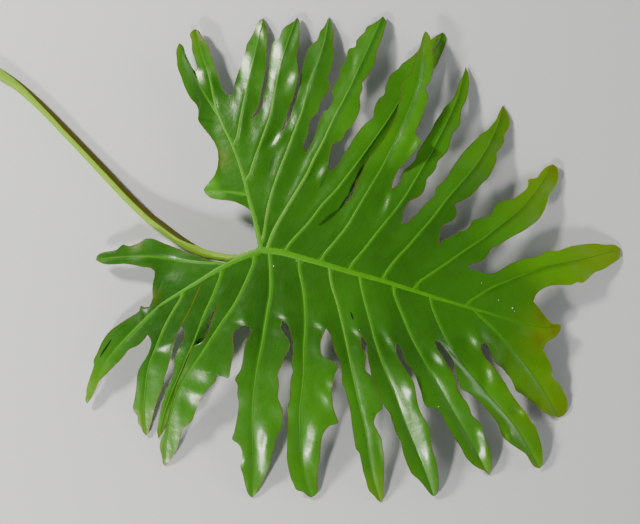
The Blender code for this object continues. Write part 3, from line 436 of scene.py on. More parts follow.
class Half:
    # one side of a lobe, from its rib to its margin
    def __init__(self, outline, rib, base, webStart, notch, margin, slope, swell, webbed, sign):
        self.outline, self.base, self.webStart, self.notch = outline, base, webStart, np.array(notch, float)
        self.slope, self.swell, self.webbed, self.sign = slope, swell, webbed, sign
        self.web = Line([outline.at(webStart), notch])
        self.notchStation = rib.station(self.notch)
        webReach = max(self.web.length, blade["webReach"] * self.notchStation)
        self.webRows = max(2, round(webReach / blade["webStep"])) if webbed else 0
        self.margin = Line(smoothLine([notch, *margin, rib.points[-1]]))
        reached = np.maximum.accumulate([rib.station(p) for p in self.margin.points])
        along, byRib = self.margin.marks / self.margin.length, blade["byRib"]
        self.progress = byRib * (reached - reached[0]) / (reached[-1] - reached[0]) + (1.0 - byRib) * along

    def freeShare(self, rows):
        return np.clip((np.arange(rows + 1) - self.webRows) / (rows - self.webRows), 0.0, 1.0)

    def edges(self, rows):
        free = self.margin.at(np.interp(self.freeShare(rows), self.progress, self.margin.marks))
        if not self.webbed:
            return free
        steps = np.arange(rows + 1)
        web = self.web.at(self.web.length * np.minimum(steps / self.webRows, 1.0))
        return np.where((steps <= self.webRows)[:, None], web, free)


class Lobe:
    def __init__(self, name, data, rib, out, back):
        self.name, self.rib, self.halves = name, rib, (out, back)
        webRows = max(out.webRows, back.webRows)
        middleRow = (out.webRows + back.webRows) / 2
        middleStation = (out.notchStation + back.notchStation) / 2
        self.rows = webRows + max(3, round((rib.length - middleStation) / blade["freeStep"]))
        knots = (0, middleRow, self.rows)
        self.stations = np.interp(np.arange(self.rows + 1), knots, (0, middleStation, rib.length))
        freeFrom = self.stations[webRows]
        self.share = np.clip((self.stations - freeFrom) / (rib.length - freeFrom), 0.0, 1.0)
        drop = data["tip"] + blade["thickness"] - domeAt(rib.points[-1])
        lift = data["lift"] * ease(self.share / blade["easeShare"])
        self.droop = lift * (1 - self.share) + drop * ease(self.share)


def layOutLobes(outline):
    names, made = list(lobes), []
    lines = [Line(smoothLine(lobes[name]["rib"])) for name in names]
    bases = [outline.station(rib.at(2 * band["step"])) for rib in lines]
    webs = [a + (b - a) * lobes[name].get("split", 0.5) for name, a, b in zip(names, bases, bases[1:])]
    for i, (name, rib, base) in enumerate(zip(names, lines, bases)):
        data, before, first, last = lobes[name], lobes[names[i - 1]], i == 0, i == len(names) - 1
        outNotch = data["out"][0] if first else before["back"][-1]
        outMargin = data["out"][1:] if first else data["out"]
        backNotch, backMargin = data["back"][-1], data["back"][-2::-1]
        outStart = outline.station(np.array(outNotch, float)) if first else webs[i - 1]
        backStart = outline.station(np.array(backNotch, float)) if last else webs[i]
        outSlope, backSlope = data["slope"]
        outSwell, backSwell = before.get("swell", 1.0), data.get("swell", 1.0)
        out = Half(outline, rib, base, outStart, outNotch, outMargin, outSlope, outSwell, not first, 1)
        back = Half(outline, rib, base, backStart, backNotch, backMargin, backSlope, backSwell, not last, -1)
        made.append(Lobe(name, data, rib, out, back))
    print("lobes:", len(made))
    return made


def halfSheet(lobe, half, draw):
    # rows from base to tip and columns from rib to margin: places in millimetres, and what the finish reads
    rows, across = lobe.rows, np.array(blade["columns"])
    ribPoints, edgePoints = lobe.rib.at(lobe.stations), half.edges(rows)
    span = edgePoints - ribPoints
    width = np.linalg.norm(span, axis=1)
    points = ribPoints[:, None] + span[:, None] * across[None, :, None]
    points[0] = half.outline.at(half.base + (half.webStart - half.base) * across)
    steps = np.arange(rows + 1)
    bulge = (1 - np.cos(np.pi * across)) / 2
    own = ease(half.freeShare(rows) / blade["easeShare"])
    webbed = ease(steps / half.webRows) if half.webbed else np.zeros(rows + 1)
    kept = np.where(steps <= half.webRows, webbed, 1.0 - own) * (1.0 if half.webbed else 0.0)
    fold = across * (blade["foldRoot"] - blade["foldBend"] * across)
    above = points[..., 1] + blade["bulgeTilt"] * points[..., 0]
    swell = blade["webBulge"] * half.swell * np.tanh(-above / blade["bulgeTurn"])
    rise = swell * kept[:, None] * bulge + (own * half.slope * width)[:, None] * fold
    phase, beat, drift = (draw.uniform(*blade[key]) for key in ("wavePhase", "waveBeat", "wavePhase"))
    turns = fullTurn * half.margin.length * half.freeShare(rows) / blade["waveLength"]
    steady, slow = blade["waveSteady"], np.sin(blade["waveDrift"] * turns + drift)
    swing = np.sin(turns * beat + phase) * (steady + (1.0 - steady) * slow)
    reach = own * np.minimum(width / blade["waveFullWidth"], 1.0) * swing
    waves = blade["waveHeight"] * reach[:, None] * across ** 2
    ribDistance = width[:, None] * across
    groove = -blade["ribGroove"] * ease(steps / blade["grooveRows"])[:, None]
    groove = groove * np.exp(-(ribDistance / blade["grooveWidth"]) ** 2)
    height = domeAt(points) + lobe.droop[:, None] + rise + waves + groove + unevenAt(points)
    edgeDistance = np.where((steps >= half.webRows)[:, None], (1 - across) * width[:, None],
                            np.linalg.norm(points - half.notch, axis=-1))
    if not half.webbed:
        edgeDistance[0] = edgeDistance[1]
    # painted shade beside the rib, on one side of each upper lobe
    shaded = lobe.name.startswith("u") and half.sign < 0
    atRoot = blade["shadeAtRoot"]
    ribShade = ease(steps / blade["shadeRows"]) * (atRoot + (1.0 - atRoot) * lobe.share) * shaded
    sheet = {"place": np.dstack([points, height]), "ribDistance": ribDistance, "edgeDistance": edgeDistance,
             "acrossRib": ribDistance * half.sign}
    for key, byRow in (("ribShade", ribShade), ("lobeShare", lobe.share), ("alongRib", lobe.stations)):
        sheet[key] = np.repeat(byRow[:, None], len(across), axis=1)
    return sheet


# where the leaf is yellowing, fresh green, deep green or browned: middle, reach and strength of each patch

patches = {
    "yellow": [((240, 132), 38, 0.45), ((288, 72), 48, 0.75), ((348, -1), 66, 1.0), ((292, -84), 34, 0.8),
               ((300, -150), 46, 0.8), ((200, 172), 22, 0.35), ((278, -212), 26, 0.45),
               ((228, -222), 22, 0.35), ((165, 208), 20, 0.3), ((118, -244), 22, 0.4),
               ((-114, -178), 22, 0.35), ((-172, -140), 26, 0.35), ((-80, 196), 26, 0.12),
               ((272, -120), 40, 0.35), ((245, 100), 40, 0.35)],
    "fresh": [((240, -45), 100, 1.0), ((268, -95), 44, 1.0), ((150, 60), 80, 0.55), ((40, 90), 100, 0.45),
              ((-40, 90), 80, 0.6), ((60, -150), 60, 0.3), ((280, -25), 60, 1.0), ((310, -15), 60, 1.0),
              ((95, -45), 50, 0.7), ((110, 85), 110, 0.7), ((158, 155), 32, 0.5), ((150, 105), 24, 0.5)],
    "deep": [((-130, -5), 46, 0.9), ((-85, -20), 40, 0.5), ((-140, -85), 40, 0.4), ((-70, 110), 22, 0.5),
             ((-20, 150), 26, 0.4), ((45, 185), 60, 0.65), ((112, 150), 34, 0.5), ((238, 118), 30, 0.5),
             ((205, 52), 45, 0.5), ((-65, 30), 30, 0.3), ((-150, 0), 40, 0.9)],
    "brown": [((283, -64), 9, 0.8), ((295, -77), 12, 0.75), ((243, 142), 10, 0.3), ((294, 82), 11, 0.55),
              ((-43, 92), 10, 0.45), ((358, -4), 10, 0.35), ((-64, 215), 12, 0.3), ((301, -163), 12, 0.4),
              ((276, -89), 8, 0.5), ((-111, -46), 7, 0.5), ((-116, -184), 9, 0.4), ((-97, -213), 6, 0.4),
              ((-127, 8), 6.5, 0.6)],
}


def patchiness(kind, points):
    total = np.zeros(len(points))
    for middle, reach, strength in patches[kind]:
        gap = np.linalg.norm(points - np.array(middle), axis=1)
        total = np.maximum(total, strength * np.exp(-(gap / reach) ** 2))
    return total


def placed(points):
    # millimetres from the joint to metres in the frame
    return np.asarray(points, float) * mm + joint


def meshFrom(name, places, faces):
    mesh = bpy.data.meshes.new(name)
    mesh.from_pydata([tuple(p) for p in places], [], faces)
    mesh.update()
    return mesh


def addObject(name, data):
    made = bpy.data.objects.new(name, data)
    bpy.context.scene.collection.objects.link(made)
    return made


def flattened(source, name):
    # the evaluated object as a plain mesh on a new object, and the source removed
    graph = bpy.context.evaluated_depsgraph_get()
    mesh = bpy.data.meshes.new_from_object(source.evaluated_get(graph), depsgraph=graph)
    mesh.name = name
    bpy.data.objects.remove(source)
    return addObject(name, mesh)


# where the blade shines, by the softbox it throws back, and where it lies level and dull: the middle,
# length, width and angle of each such place

sheens = {
    "spread": 0.95, "steepest": 0.75, "sampled": 6.0, "longShape": 2.6,
    "low": [(1, -187, 11, 8, 83), (-1, -208, 15, 6, 80), (-19, -211, 5, 3, 52), (50, -182, 12, 8, 78),
            (46, -202, 11, 7, 78), (62, -148, 10, 4.5, 128), (67, -134, 5, 4, 64), (-60, -128, 9, 7, 61),
            (-70, -145, 9, 7, 61), (-85, -170, 18, 3.6, 84), (-108, -133, 16, 6, 83), (-98, -98, 9, 4, 34),
            (146, -143, 12, 6, 112), (156, -180, 13, 8, 112), (164, -202, 13, 8, 108),
            (217, -186, 10, 5.5, 112), (222, -200, 10, 5, 105), (227, -122, 10, 5.4, 79),
            (176, -109, 8, 5.5, 138), (211, -90, 8.5, 6.5, 140), (128, -93, 11, 4.2, 120),
            (95, -83, 6, 3.6, 128), (245, -186, 5, 3, 118), (259, -162, 5.3, 3, 170),
            (119, -200, 9, 2.4, 100), (-20, -72, 5.5, 5, 64), (21, -67, 6, 4.6, 158),
            (57, -76, 6, 4.4, 128)],
    "key": [(14, 200, 11, 6.5, 65), (9, 168, 18, 3.6, 76), (33, 212, 12, 4, 70), (30, 171, 8.5, 5.5, 38),
            (-2, 220, 10, 5.5, 92), (-17, 183, 14, 6.5, 62), (50, 171, 15, 3.4, 71), (34, 152, 9.5, 3, 70),
            (93, 186, 8, 3, 77), (152, 104, 8.5, 3.7, 61), (124, 47, 8.5, 3.6, 78), (59, 78, 8, 5, 50),
            (13, 109, 8.8, 3.6, 41)],
    "dull": [(-140, -6, 20, 14, 2), (-106, -12, 18, 14, 2), (-53, 160, 15, 7, 112)],
}


def slopeToward(light, place):
    # the slope that throws a softbox back at the camera; a dull place lies level
    if light == "dull":
        return np.zeros(2)
    aim = np.array(studio["aim"])
    toLight = aim + np.array(studio["lights"][light]["from"]) / mm - place
    toCamera = aim + (0.0, 0.0, studio["distance"] / mm) - place
    halfway = toLight / np.linalg.norm(toLight) + toCamera / np.linalg.norm(toCamera)
    return -halfway[:2] / halfway[2]


def bentAt(points, bends):
    offset = np.zeros(points.shape[:-1])
    for middle, along, reach, width, change in bends:
        gap = points - middle
        far = (gap @ along / reach) ** 2 + (gap @ np.array((-along[1], along[0])) / width) ** 2
        offset += np.exp(-0.5 * far) * (gap @ change)
    return offset


def bendForSheens(sheets):
    # small swells that tilt the blade where it shines
    bends = []
    everywhere = np.vstack([sheet["place"].reshape(-1, 3) for sheet in sheets])
    owner = np.repeat(np.arange(len(sheets)), [sheet["place"].size // 3 for sheet in sheets])
    places = [(light, *one) for light in ("low", "key", "dull") for one in sheens[light]]
    for light, x, y, length, width, angle in places:
        middle = np.array((x, y), float)
        gaps = np.linalg.norm(everywhere[:, :2] - middle, axis=1)
        near = (owner == owner[np.argmin(gaps)]) & (gaps < sheens["sampled"])
        local = everywhere[near]
        heights = local[:, 2] + bentAt(local[:, :2], bends)
        fit = np.column_stack([local[:, :2] - middle, np.ones(len(local))])
        found = np.linalg.lstsq(fit, heights, rcond=None)[0][:2]
        change = slopeToward(light, np.array((x, y, heights.mean()))) - found
        along = np.array((np.cos(np.radians(angle)), np.sin(np.radians(angle))))
        if length > sheens["longShape"] * width:
            change -= along * (change @ along)
        change *= min(1.0, sheens["steepest"] / max(np.linalg.norm(change), 1e-6))
        bends.append((middle, along, sheens["spread"] * length, sheens["spread"] * width, change))
    return bends


def shapeSheets(laidOut):
    draw = np.random.default_rng(blade["seed"])
    for lobe in laidOut:
        lobe.sheets = [halfSheet(lobe, half, draw) for half in lobe.halves]
    everySheet = [sheet for lobe in laidOut for sheet in lobe.sheets]
    bends = bendForSheens(everySheet)
    for sheet in everySheet:
        place = sheet["place"]
        lowest = blade["thickness"] + blade["clearance"]
        place[..., 2] = np.maximum(place[..., 2] + bentAt(place[..., :2], bends), lowest)
    print("sheets:", len(everySheet), "half lobes,", len(bends), "swells for the sheen")
    return bends


def plainHeight(points, bends):
    return domeAt(points) + unevenAt(points) + bentAt(points, bends)


def joinSheets(laidOut, outline, bends):
    # every half lobe and the band as one mesh, with what the finish reads at each point
    onBand = {"ribDistance": 1.0, "edgeDistance": 40.0, "lobeShare": 0.0, "ribShade": 0.0, "acrossRib": 1.0,
              "alongRib": 0.0}
    places, faces, values, count = [], [], {key: [] for key in onBand}, 0
    columns = len(blade["columns"])
    for lobe in laidOut:
        for half, sheet in zip(lobe.halves, lobe.sheets):
            places.append(sheet["place"].reshape(-1, 3))
            for key in onBand:
                values[key].append(sheet[key].ravel())
            corner = count + (np.arange(lobe.rows)[:, None] * columns + np.arange(columns - 1)).ravel()
            quads = np.stack([corner, corner + 1, corner + columns + 1, corner + columns], axis=1)
            faces += (quads if half.sign < 0 else quads[:, ::-1]).tolist()
            count += places[-1].shape[0]
    rim = bandRim(laidOut, outline)
    places.append(np.column_stack([rim, plainHeight(rim, bends)]))
    faces.append([count + i for i in range(len(rim))][::-1])
    for key, value in onBand.items():
        values[key].append(np.full(len(rim), value))
    return np.vstack(places), faces, {key: np.concatenate(parts) for key, parts in values.items()}


def bandRim(laidOut, outline):
    across = np.array(blade["columns"])
    stations = [*np.arange(0.0, laidOut[0].halves[0].base, band["step"])]
    for lobe in laidOut:
        for half in lobe.halves:
            stations += list(half.base + (half.webStart - half.base) * across)
    stations += [*np.arange(laidOut[-1].halves[1].base, outline.length, band["step"])]
    return outline.at(np.array(sorted(set(np.round(stations, 6)))))


def giveAttribute(mesh, name, values):
    layer = mesh.attributes.new(name, "FLOAT", "POINT")
    layer.data.foreach_set("value", np.asarray(values, np.float32))


def giveMap(mesh, name, across, along):
    # a map for the finish, from two values at each point
    corners = np.empty(len(mesh.loops), dtype=np.int64)
    mesh.loops.foreach_get("vertex_index", corners)
    pairs = np.column_stack([across[corners], along[corners]])
    mesh.uv_layers.new(name=name).data.foreach_set("uv", pairs.ravel().astype(np.float32))


class Nodes:
    # short ways to add and join the nodes of one tree
    def __init__(self, tree):
        self.tree = tree

    def give(self, socket, value):
        # another node's output, or a plain value
        if isinstance(value, bpy.types.NodeSocket):
            self.tree.links.new(value, socket)
        else:
            socket.default_value = (*value, 1.0) if socket.type == "RGBA" else value

    def add(self, kind, sockets=(), **settings):
        made = self.tree.nodes.new(kind)
        for key, value in settings.items():
            setattr(made, key, value)
        for key, value in dict(sockets).items():
            self.give(made.inputs[key], value)
        return made

    def ramp(self, value, low, high, toLow=0.0, toHigh=1.0):
        sockets = {"Value": value, "From Min": low, "From Max": high, "To Min": toLow, "To Max": toHigh}
        return self.add("ShaderNodeMapRange", sockets, interpolation_type="SMOOTHSTEP").outputs["Result"]

    def math(self, operation, first, second):
        return self.add("ShaderNodeMath", {0: first, 1: second}, operation=operation).outputs["Value"]

    def both(self, first, second):
        return self.math("MULTIPLY", first, second)

    def vector(self, operation, first, second, output="Vector"):
        return self.add("ShaderNodeVectorMath", {0: first, 1: second}, operation=operation).outputs[output]


class Skin(Nodes):
    # a material: what holds for all of it comes from its look, the rest from the nodes given to paint
    def __init__(self, name, look):
        self.material = bpy.data.materials.new(name)
        self.material.use_nodes = True
        super().__init__(self.material.node_tree)
        self.surface = self.tree.nodes["Principled BSDF"].inputs
        tint = look.get("tint", (1.0, 1.0, 1.0))
        overall = {"Roughness": look["roughness"], "Specular IOR Level": look.get("specular", 0.5),
                   "Specular Tint": tint, "Coat Weight": look.get("coat", 0.0), "Coat Tint": tint,
                   "Coat Roughness": look.get("coatRoughness", 0.1)}
        for key, value in overall.items():
            self.give(self.surface[key], value)

    def where(self):
        return self.add("ShaderNodeTexCoord").outputs["Object"]

    def attribute(self, name):
        return self.add("ShaderNodeAttribute", attribute_name=name).outputs["Fac"]

    def noise(self, place, scale, detail=3.0, roughness=0.5):
        sockets = {"Vector": place, "Scale": scale, "Detail": detail, "Roughness": roughness}
        return self.add("ShaderNodeTexNoise", sockets).outputs["Fac"]

    def mapNoise(self, name, stretch, *kind):
        # noise drawn out along a map of the mesh
        place = self.add("ShaderNodeUVMap", uv_map=name).outputs["UV"]
        drawn = self.add("ShaderNodeMapping", {"Vector": place, "Scale": stretch}).outputs["Vector"]
        return self.noise(drawn, *kind)

    def mix(self, factor, first, second):
        sockets = {"Factor": factor, 6: first, 7: second}
        return self.add("ShaderNodeMix", sockets, data_type="RGBA").outputs[2]

    def bump(self, height, distance, under=None):
        sockets = {"Height": height, "Distance": distance, "Strength": 1.0}
        if under is not None:
            sockets["Normal"] = under
        return self.add("ShaderNodeBump", sockets).outputs["Normal"]

    def lineMask(self, place, start, end, width):
        # one along a straight line seen from above, falling to nothing at its width and tapering to its ends
        run = Vector((end.x - start.x, end.y - start.y, 0.0))
        flat = self.vector("MULTIPLY", place, (1.0, 1.0, 0.0))
        gap = self.vector("SUBTRACT", flat, Vector((start.x, start.y, 0.0)))
        share = self.math("DIVIDE", self.vector("DOT_PRODUCT", gap, run, "Value"), run.length_squared)
        share.node.use_clamp = True
        sockets = {0: run, "Scale": share}
        reach = self.add("ShaderNodeVectorMath", sockets, operation="SCALE").outputs["Vector"]
        toEnds = self.math("SUBTRACT", 0.25, self.both(self.math("SUBTRACT", 1.0, share), share))
        taper = self.both(toEnds, marksAndShadeLines["taper"] * width)
        far = self.math("ADD", self.vector("DISTANCE", gap, reach, "Value"), taper)
        return self.ramp(far, marksAndShadeLines["core"] * width, width, 1.0, 0.0)

    def paint(self, colour, normal=None):
        self.give(self.surface["Base Color"], colour)
        if normal is not None:
            self.give(self.surface["Normal"], normal)
        return self.material


# finishes: colours, then noises by scale, detail and roughness, then ramps by the values they start and end
# at and what they give at both, then the heights of bumps in metres

leafFinish = {
    "web": (0.019, 0.092, 0.0050), "lobe": (0.049, 0.200, 0.0105), "ribSide": (0.056, 0.235, 0.0050),
    "tip": (0.076, 0.265, 0.0080), "fresh": (0.050, 0.210, 0.0080), "bright": (0.100, 0.390, 0.0040),
    "yellow": (0.195, 0.350, 0.0010), "brown": (0.180, 0.125, 0.004), "margin": (0.130, 0.098, 0.030),
    "goldMargin": (0.250, 0.300, 0.015),
    "roughness": 0.32, "specular": 0.65, "coat": 0.3, "coatRoughness": 0.22, "tint": (0.86, 1.0, 0.72),
    "mottle": (26.0, 4.0, 0.55), "streak": (1.0, 3.0, 0.6), "streakStretch": (95.0, 5.0, 1.0),
    "spot": (190.0, 5.0, 0.7), "gloss": (75.0, 4.0, 0.6), "pucker": (115.0, 2.0), "grain": (620.0, 2.0, 0.5),
    "toLobe": (0.0, 0.5), "toTip": (0.45, 1.0, 0.0, 0.8), "toBright": (0.05, 0.4),
    "mottled": (0.35, 0.7, 0.0, 0.3), "streaked": (0.45, 0.75, 0.0, 0.25),
    "besideRib": (0.8, 3.4, 0.9, 0.0), "besideRibByShare": (0.0, 0.6, 1.0, 0.25),
    "ribShaded": (1.4, 6.5, 0.75, 0.0),
    "yellowed": (0.25, 0.6, 0.55, 1.0), "brownedAndShaded": (0.3, 0.55, 0.35, 1.0),
    "edge": (0.5, 1.5, 1.0, 0.0), "edgeSpotted": (0.35, 0.6, 0.3, 1.0), "toGold": (0.1, 0.6),
    "glossy": (0.3, 0.7, 0.26, 0.38),
    "puckerRise": 0.0004, "grainRise": 0.00006, "streakRise": 0.00007,
}

# marks and painted shade that run in a line: start, end, width, colour and strength of each
marksAndShadeLines = {
    "core": 0.35, "taper": 1.6,
    "colours": {"dry": (0.140, 0.120, 0.008), "slit": (0.006, 0.007, 0.002), "hole": (0.004, 0.006, 0.002),
                # the first colour here paints a darker green line across u1a
                "dent": (0.014, 0.040, 0.003), "fold": (0.005, 0.026, 0.001),
                "foldEnd": (0.007, 0.036, 0.002), "shade": (0.010, 0.050, 0.003)},
    "lines": [
        ((-61, -35.5), (-71, -58), 0.8, "dry", 1.0), ((-71, -58), (-79, -73), 0.8, "dry", 1.0),
        # painted shade, near black, stands in for a tear and a hole through the blade
        ((-150.5, -89.5), (-162, -107), 1.3, "slit", 1.0), ((88.5, -62), (91, -69), 1.1, "hole", 1.0),
        # the fold lines from here on are painted shadow that u7's margin casts on u6
        ((-62, 131), (-48, 127.5), 1.4, "dent", 0.4), ((101, 84), (93, 69), 1.8, "fold", 1.0),
        ((93, 69), (87, 55), 2.2, "fold", 1.0), ((87, 55), (77, 40), 2.0, "fold", 0.95),
        ((77, 40), (58, 25), 3.0, "foldEnd", 0.7), ((13, 94), (8, 78), 3.0, "shade", 0.5),
        ((66, 82), (58, 62), 3.0, "shade", 0.4),
    ],
}


def leafMaterial():
    look, skin = leafFinish, Skin("leafGreen", leafFinish)
    place, ramp, both = skin.where(), skin.ramp, skin.both
    mottle, spot = skin.noise(place, *look["mottle"]), skin.noise(place, *look["spot"])
    streak = skin.mapNoise("ribMap", look["streakStretch"], *look["streak"])
    names = ("lobeShare", "ribDistance", "edgeDistance", "fresh", "yellow")
    share, fromRib, fromEdge, fresh, yellow = (skin.attribute(name) for name in names)
    colour = skin.mix(fresh, look["web"], look["fresh"])
    layers = [
        ("lobe", ramp(share, *look["toLobe"])),
        ("tip", ramp(share, *look["toTip"])),
        ("bright", both(fresh, ramp(share, *look["toBright"]))),
        ("web", skin.attribute("deep")),
        ("lobe", ramp(mottle, *look["mottled"])),
        ("ribSide", ramp(streak, *look["streaked"])),
        ("ribSide", both(ramp(fromRib, *look["besideRib"]), ramp(share, *look["besideRibByShare"]))),
        # painted shade: deep web green beside the upper lobes' ribs
        ("web", both(skin.attribute("ribShade"), ramp(fromRib, *look["ribShaded"]))),
        ("yellow", both(yellow, ramp(mottle, *look["yellowed"]))),
        ("brown", both(skin.attribute("brown"), ramp(spot, *look["brownedAndShaded"]))),
    ]
    for name, mask in layers:
        colour = skin.mix(mask, colour, look[name])
    rim = skin.mix(ramp(yellow, *look["toGold"]), look["margin"], look["goldMargin"])
    colour = skin.mix(both(ramp(fromEdge, *look["edge"]), ramp(spot, *look["edgeSpotted"])), colour, rim)
    # dry marks, and painted shade and shadow, along straight lines
    for start, end, width, name, strength in marksAndShadeLines["lines"]:
        ends = [Vector(placed([(*point, 0.0)])[0]) for point in (start, end)]
        mark = both(skin.lineMask(place, *ends, width * mm), strength)
        colour = skin.mix(mark, colour, marksAndShadeLines["colours"][name])
    skin.give(skin.surface["Roughness"], ramp(skin.noise(place, *look["gloss"]), *look["glossy"]))
    relief = skin.bump(skin.noise(place, *look["pucker"]), look["puckerRise"])
    relief = skin.bump(skin.noise(place, *look["grain"]), look["grainRise"], relief)
    return skin.paint(colour, skin.bump(streak, look["streakRise"], relief))


underFinish = {
    "pale": (0.085, 0.190, 0.035), "deep": (0.060, 0.155, 0.020), "yellow": (0.24, 0.30, 0.04),
    "brown": leafFinish["brown"], "roughness": 0.5,
    "mottle": (30.0, 4.0), "grain": (420.0, 3.0), "mottled": (0.3, 0.7, 0.0, 0.5), "grainRise": 0.0001,
}


def undersideMaterial():
    look, skin = underFinish, Skin("leafUnderside", underFinish)
    place = skin.where()
    mottle = skin.noise(place, *look["mottle"])
    colour = skin.mix(skin.ramp(mottle, *look["mottled"]), look["pale"], look["deep"])
    for name in ("yellow", "brown"):
        colour = skin.mix(skin.attribute(name), colour, look[name])
    return skin.paint(colour, skin.bump(skin.noise(place, *look["grain"]), look["grainRise"]))


ribFinish = {
    "lateral": (0.062, 0.262, 0.0060), "main": (0.082, 0.340, 0.0030), "pale": (0.135, 0.360, 0.035),
    "groove": (0.040, 0.160, 0.005), "lobe": leafFinish["lobe"],
    "roughness": 0.46, "specular": 0.35, "coatRoughness": 0.3, "tint": leafFinish["tint"],
    "mottle": (160.0, 4.0, 0.6), "grain": (500.0, 2.0),
    "top": 0.25, "darkMiddle": (0.02, 0.09, 1.0, 0.0), "darkMiddleByTone": (0.45, 0.9, 0.0, 0.8),
    "mottled": (0.35, 0.7, 0.0, 0.3), "grainRise": 0.00008,
}


def ribMaterial():
    look, skin = ribFinish, Skin("ribGreen", ribFinish)
    place, paleTone = skin.where(), skin.attribute("paleTone")
    fromTop = skin.math("ABSOLUTE", skin.math("SUBTRACT", skin.attribute("around"), look["top"]), 0.0)
    # the pale ribs are darker along the middle of their tops
    groove = skin.both(skin.ramp(fromTop, *look["darkMiddle"]), skin.ramp(paleTone, *look["darkMiddleByTone"]))
    mottle = skin.ramp(skin.noise(place, *look["mottle"]), *look["mottled"])
    layers = [("main", skin.attribute("mainTone")), ("pale", paleTone), ("groove", groove), ("lobe", mottle),
              ("lobe", skin.attribute("fade"))]
    colour = look["lateral"]
    for name, mask in layers:
        colour = skin.mix(mask, colour, look[name])
    return skin.paint(colour, skin.bump(skin.noise(place, *look["grain"]), look["grainRise"]))


stalkFinish = {
    "pale": (0.300, 0.540, 0.034), "deep": (0.200, 0.370, 0.016), "brown": (0.068, 0.058, 0.003),
    "roughness": 0.44, "specular": 0.3, "coatRoughness": 0.3, "tint": leafFinish["tint"],
    "fibre": (1.0, 5.0, 0.7), "fibreStretch": (14.0, 9.0, 1.0),
    "dash": (1.0, 2.0, 0.5), "dashStretch": (26.0, 70.0, 1.0), "grain": (700.0,),
    "fibred": (0.3, 0.7), "dashed": (0.6, 0.68, 0.0, 0.55),
    "brownedAndShaded": (-0.08, 0.1), "brownFibred": (0.2, 0.5, 0.75, 1.0), "grainRise": 0.0001, "fibreRise": 0.0003,
}


def stalkMaterial():
    look, skin = stalkFinish, Skin("stalkSkin", stalkFinish)
    fibre = skin.mapNoise("stalkMap", look["fibreStretch"], *look["fibre"])
    dash = skin.mapNoise("stalkMap", look["dashStretch"], *look["dash"])
    # brown with painted shade on the stalk's upper right side, away from the lights
    brownShadeSide = skin.ramp(skin.attribute("brownShadeSide"), *look["brownedAndShaded"])
    brownedAndShaded = skin.both(brownShadeSide, skin.ramp(fibre, *look["brownFibred"]))
    colour = skin.mix(skin.ramp(fibre, *look["fibred"]), look["deep"], look["pale"])
    colour = skin.mix(skin.ramp(dash, *look["dashed"]), colour, look["deep"])
    grain = skin.bump(skin.noise(skin.where(), *look["grain"]), look["grainRise"])
    return skin.paint(skin.mix(brownedAndShaded, colour, look["brown"]), skin.bump(fibre, look["fibreRise"], grain))


cutFinish = {"pith": (0.62, 0.66, 0.36), "thread": (0.36, 0.40, 0.14), "roughness": 0.55,
             "threads": (1100.0, 2.0, 0.6), "threaded": (0.4, 0.7), "threadRise": 0.0002}


def cutMaterial():
    look, skin = cutFinish, Skin("cutPith", cutFinish)
    threads = skin.noise(skin.where(), *look["threads"])
    colour = skin.mix(skin.ramp(threads, *look["threaded"]), look["pith"], look["thread"])
    return skin.paint(colour, skin.bump(threads, look["threadRise"]))


dustFinish = {"deep": (0.55, 0.6, 0.42), "pale": (0.8, 0.82, 0.7), "roughness": 0.8, "grain": (900.0,)}


def dustMaterial():
    look, skin = dustFinish, Skin("dustSpeck", dustFinish)
    return skin.paint(skin.mix(skin.noise(skin.where(), *look["grain"]), look["deep"], look["pale"]))


def buildBlade(laidOut, outline, bends, top, under):
    places, faces, values = joinSheets(laidOut, outline, bends)
    sheet = meshFrom("leafSheet", placed(places), faces)
    sheet.materials.append(top)
    sheet.materials.append(under)
    for key in ("ribDistance", "edgeDistance", "lobeShare", "ribShade"):
        giveAttribute(sheet, key, values[key])
    for kind in patches:
        giveAttribute(sheet, kind, patchiness(kind, places[:, :2]))
    giveMap(sheet, "ribMap", values["acrossRib"] * blade["mapScale"], values["alongRib"] * blade["mapScale"])
    work = bmesh.new()
    work.from_mesh(sheet)
    bmesh.ops.remove_doubles(work, verts=work.verts, dist=blade["merged"] * mm)
    bmesh.ops.dissolve_degenerate(work, edges=work.edges, dist=blade["thinnest"] * mm)
    bmesh.ops.triangulate(work, faces=[face for face in work.faces if len(face.verts) > 4])
    bmesh.ops.recalc_face_normals(work, faces=work.faces)
    if sum(face.normal.z for face in work.faces) < 0:
        bmesh.ops.reverse_faces(work, faces=work.faces)
    work.to_mesh(sheet)
    work.free()
    sheet.shade_smooth()
    source = addObject("leafSheet", sheet)
    solid = source.modifiers.new("thickness", "SOLIDIFY")
    solid.thickness = blade["thickness"] * mm
    solid.offset = -1
    solid.material_offset = 1
    solid.material_offset_rim = 1
    piece = flattened(source, "leafBlade")
    keepAboveFloor(piece)
    piece.data.set_sharp_from_angle(angle=blade["sharpAngle"])
    triangles = sum(len(face.vertices) - 2 for face in piece.data.polygons)
    print("blade:", len(piece.data.vertices), "points,", triangles, "triangles")
    return piece


def keepAboveFloor(piece):
    points = np.empty(len(piece.data.vertices) * 3, np.float32)
    piece.data.vertices.foreach_get("co", points)
    points[2::3] = np.maximum(points[2::3], 0.0)
    piece.data.vertices.foreach_set("co", points)
    piece.data.update()


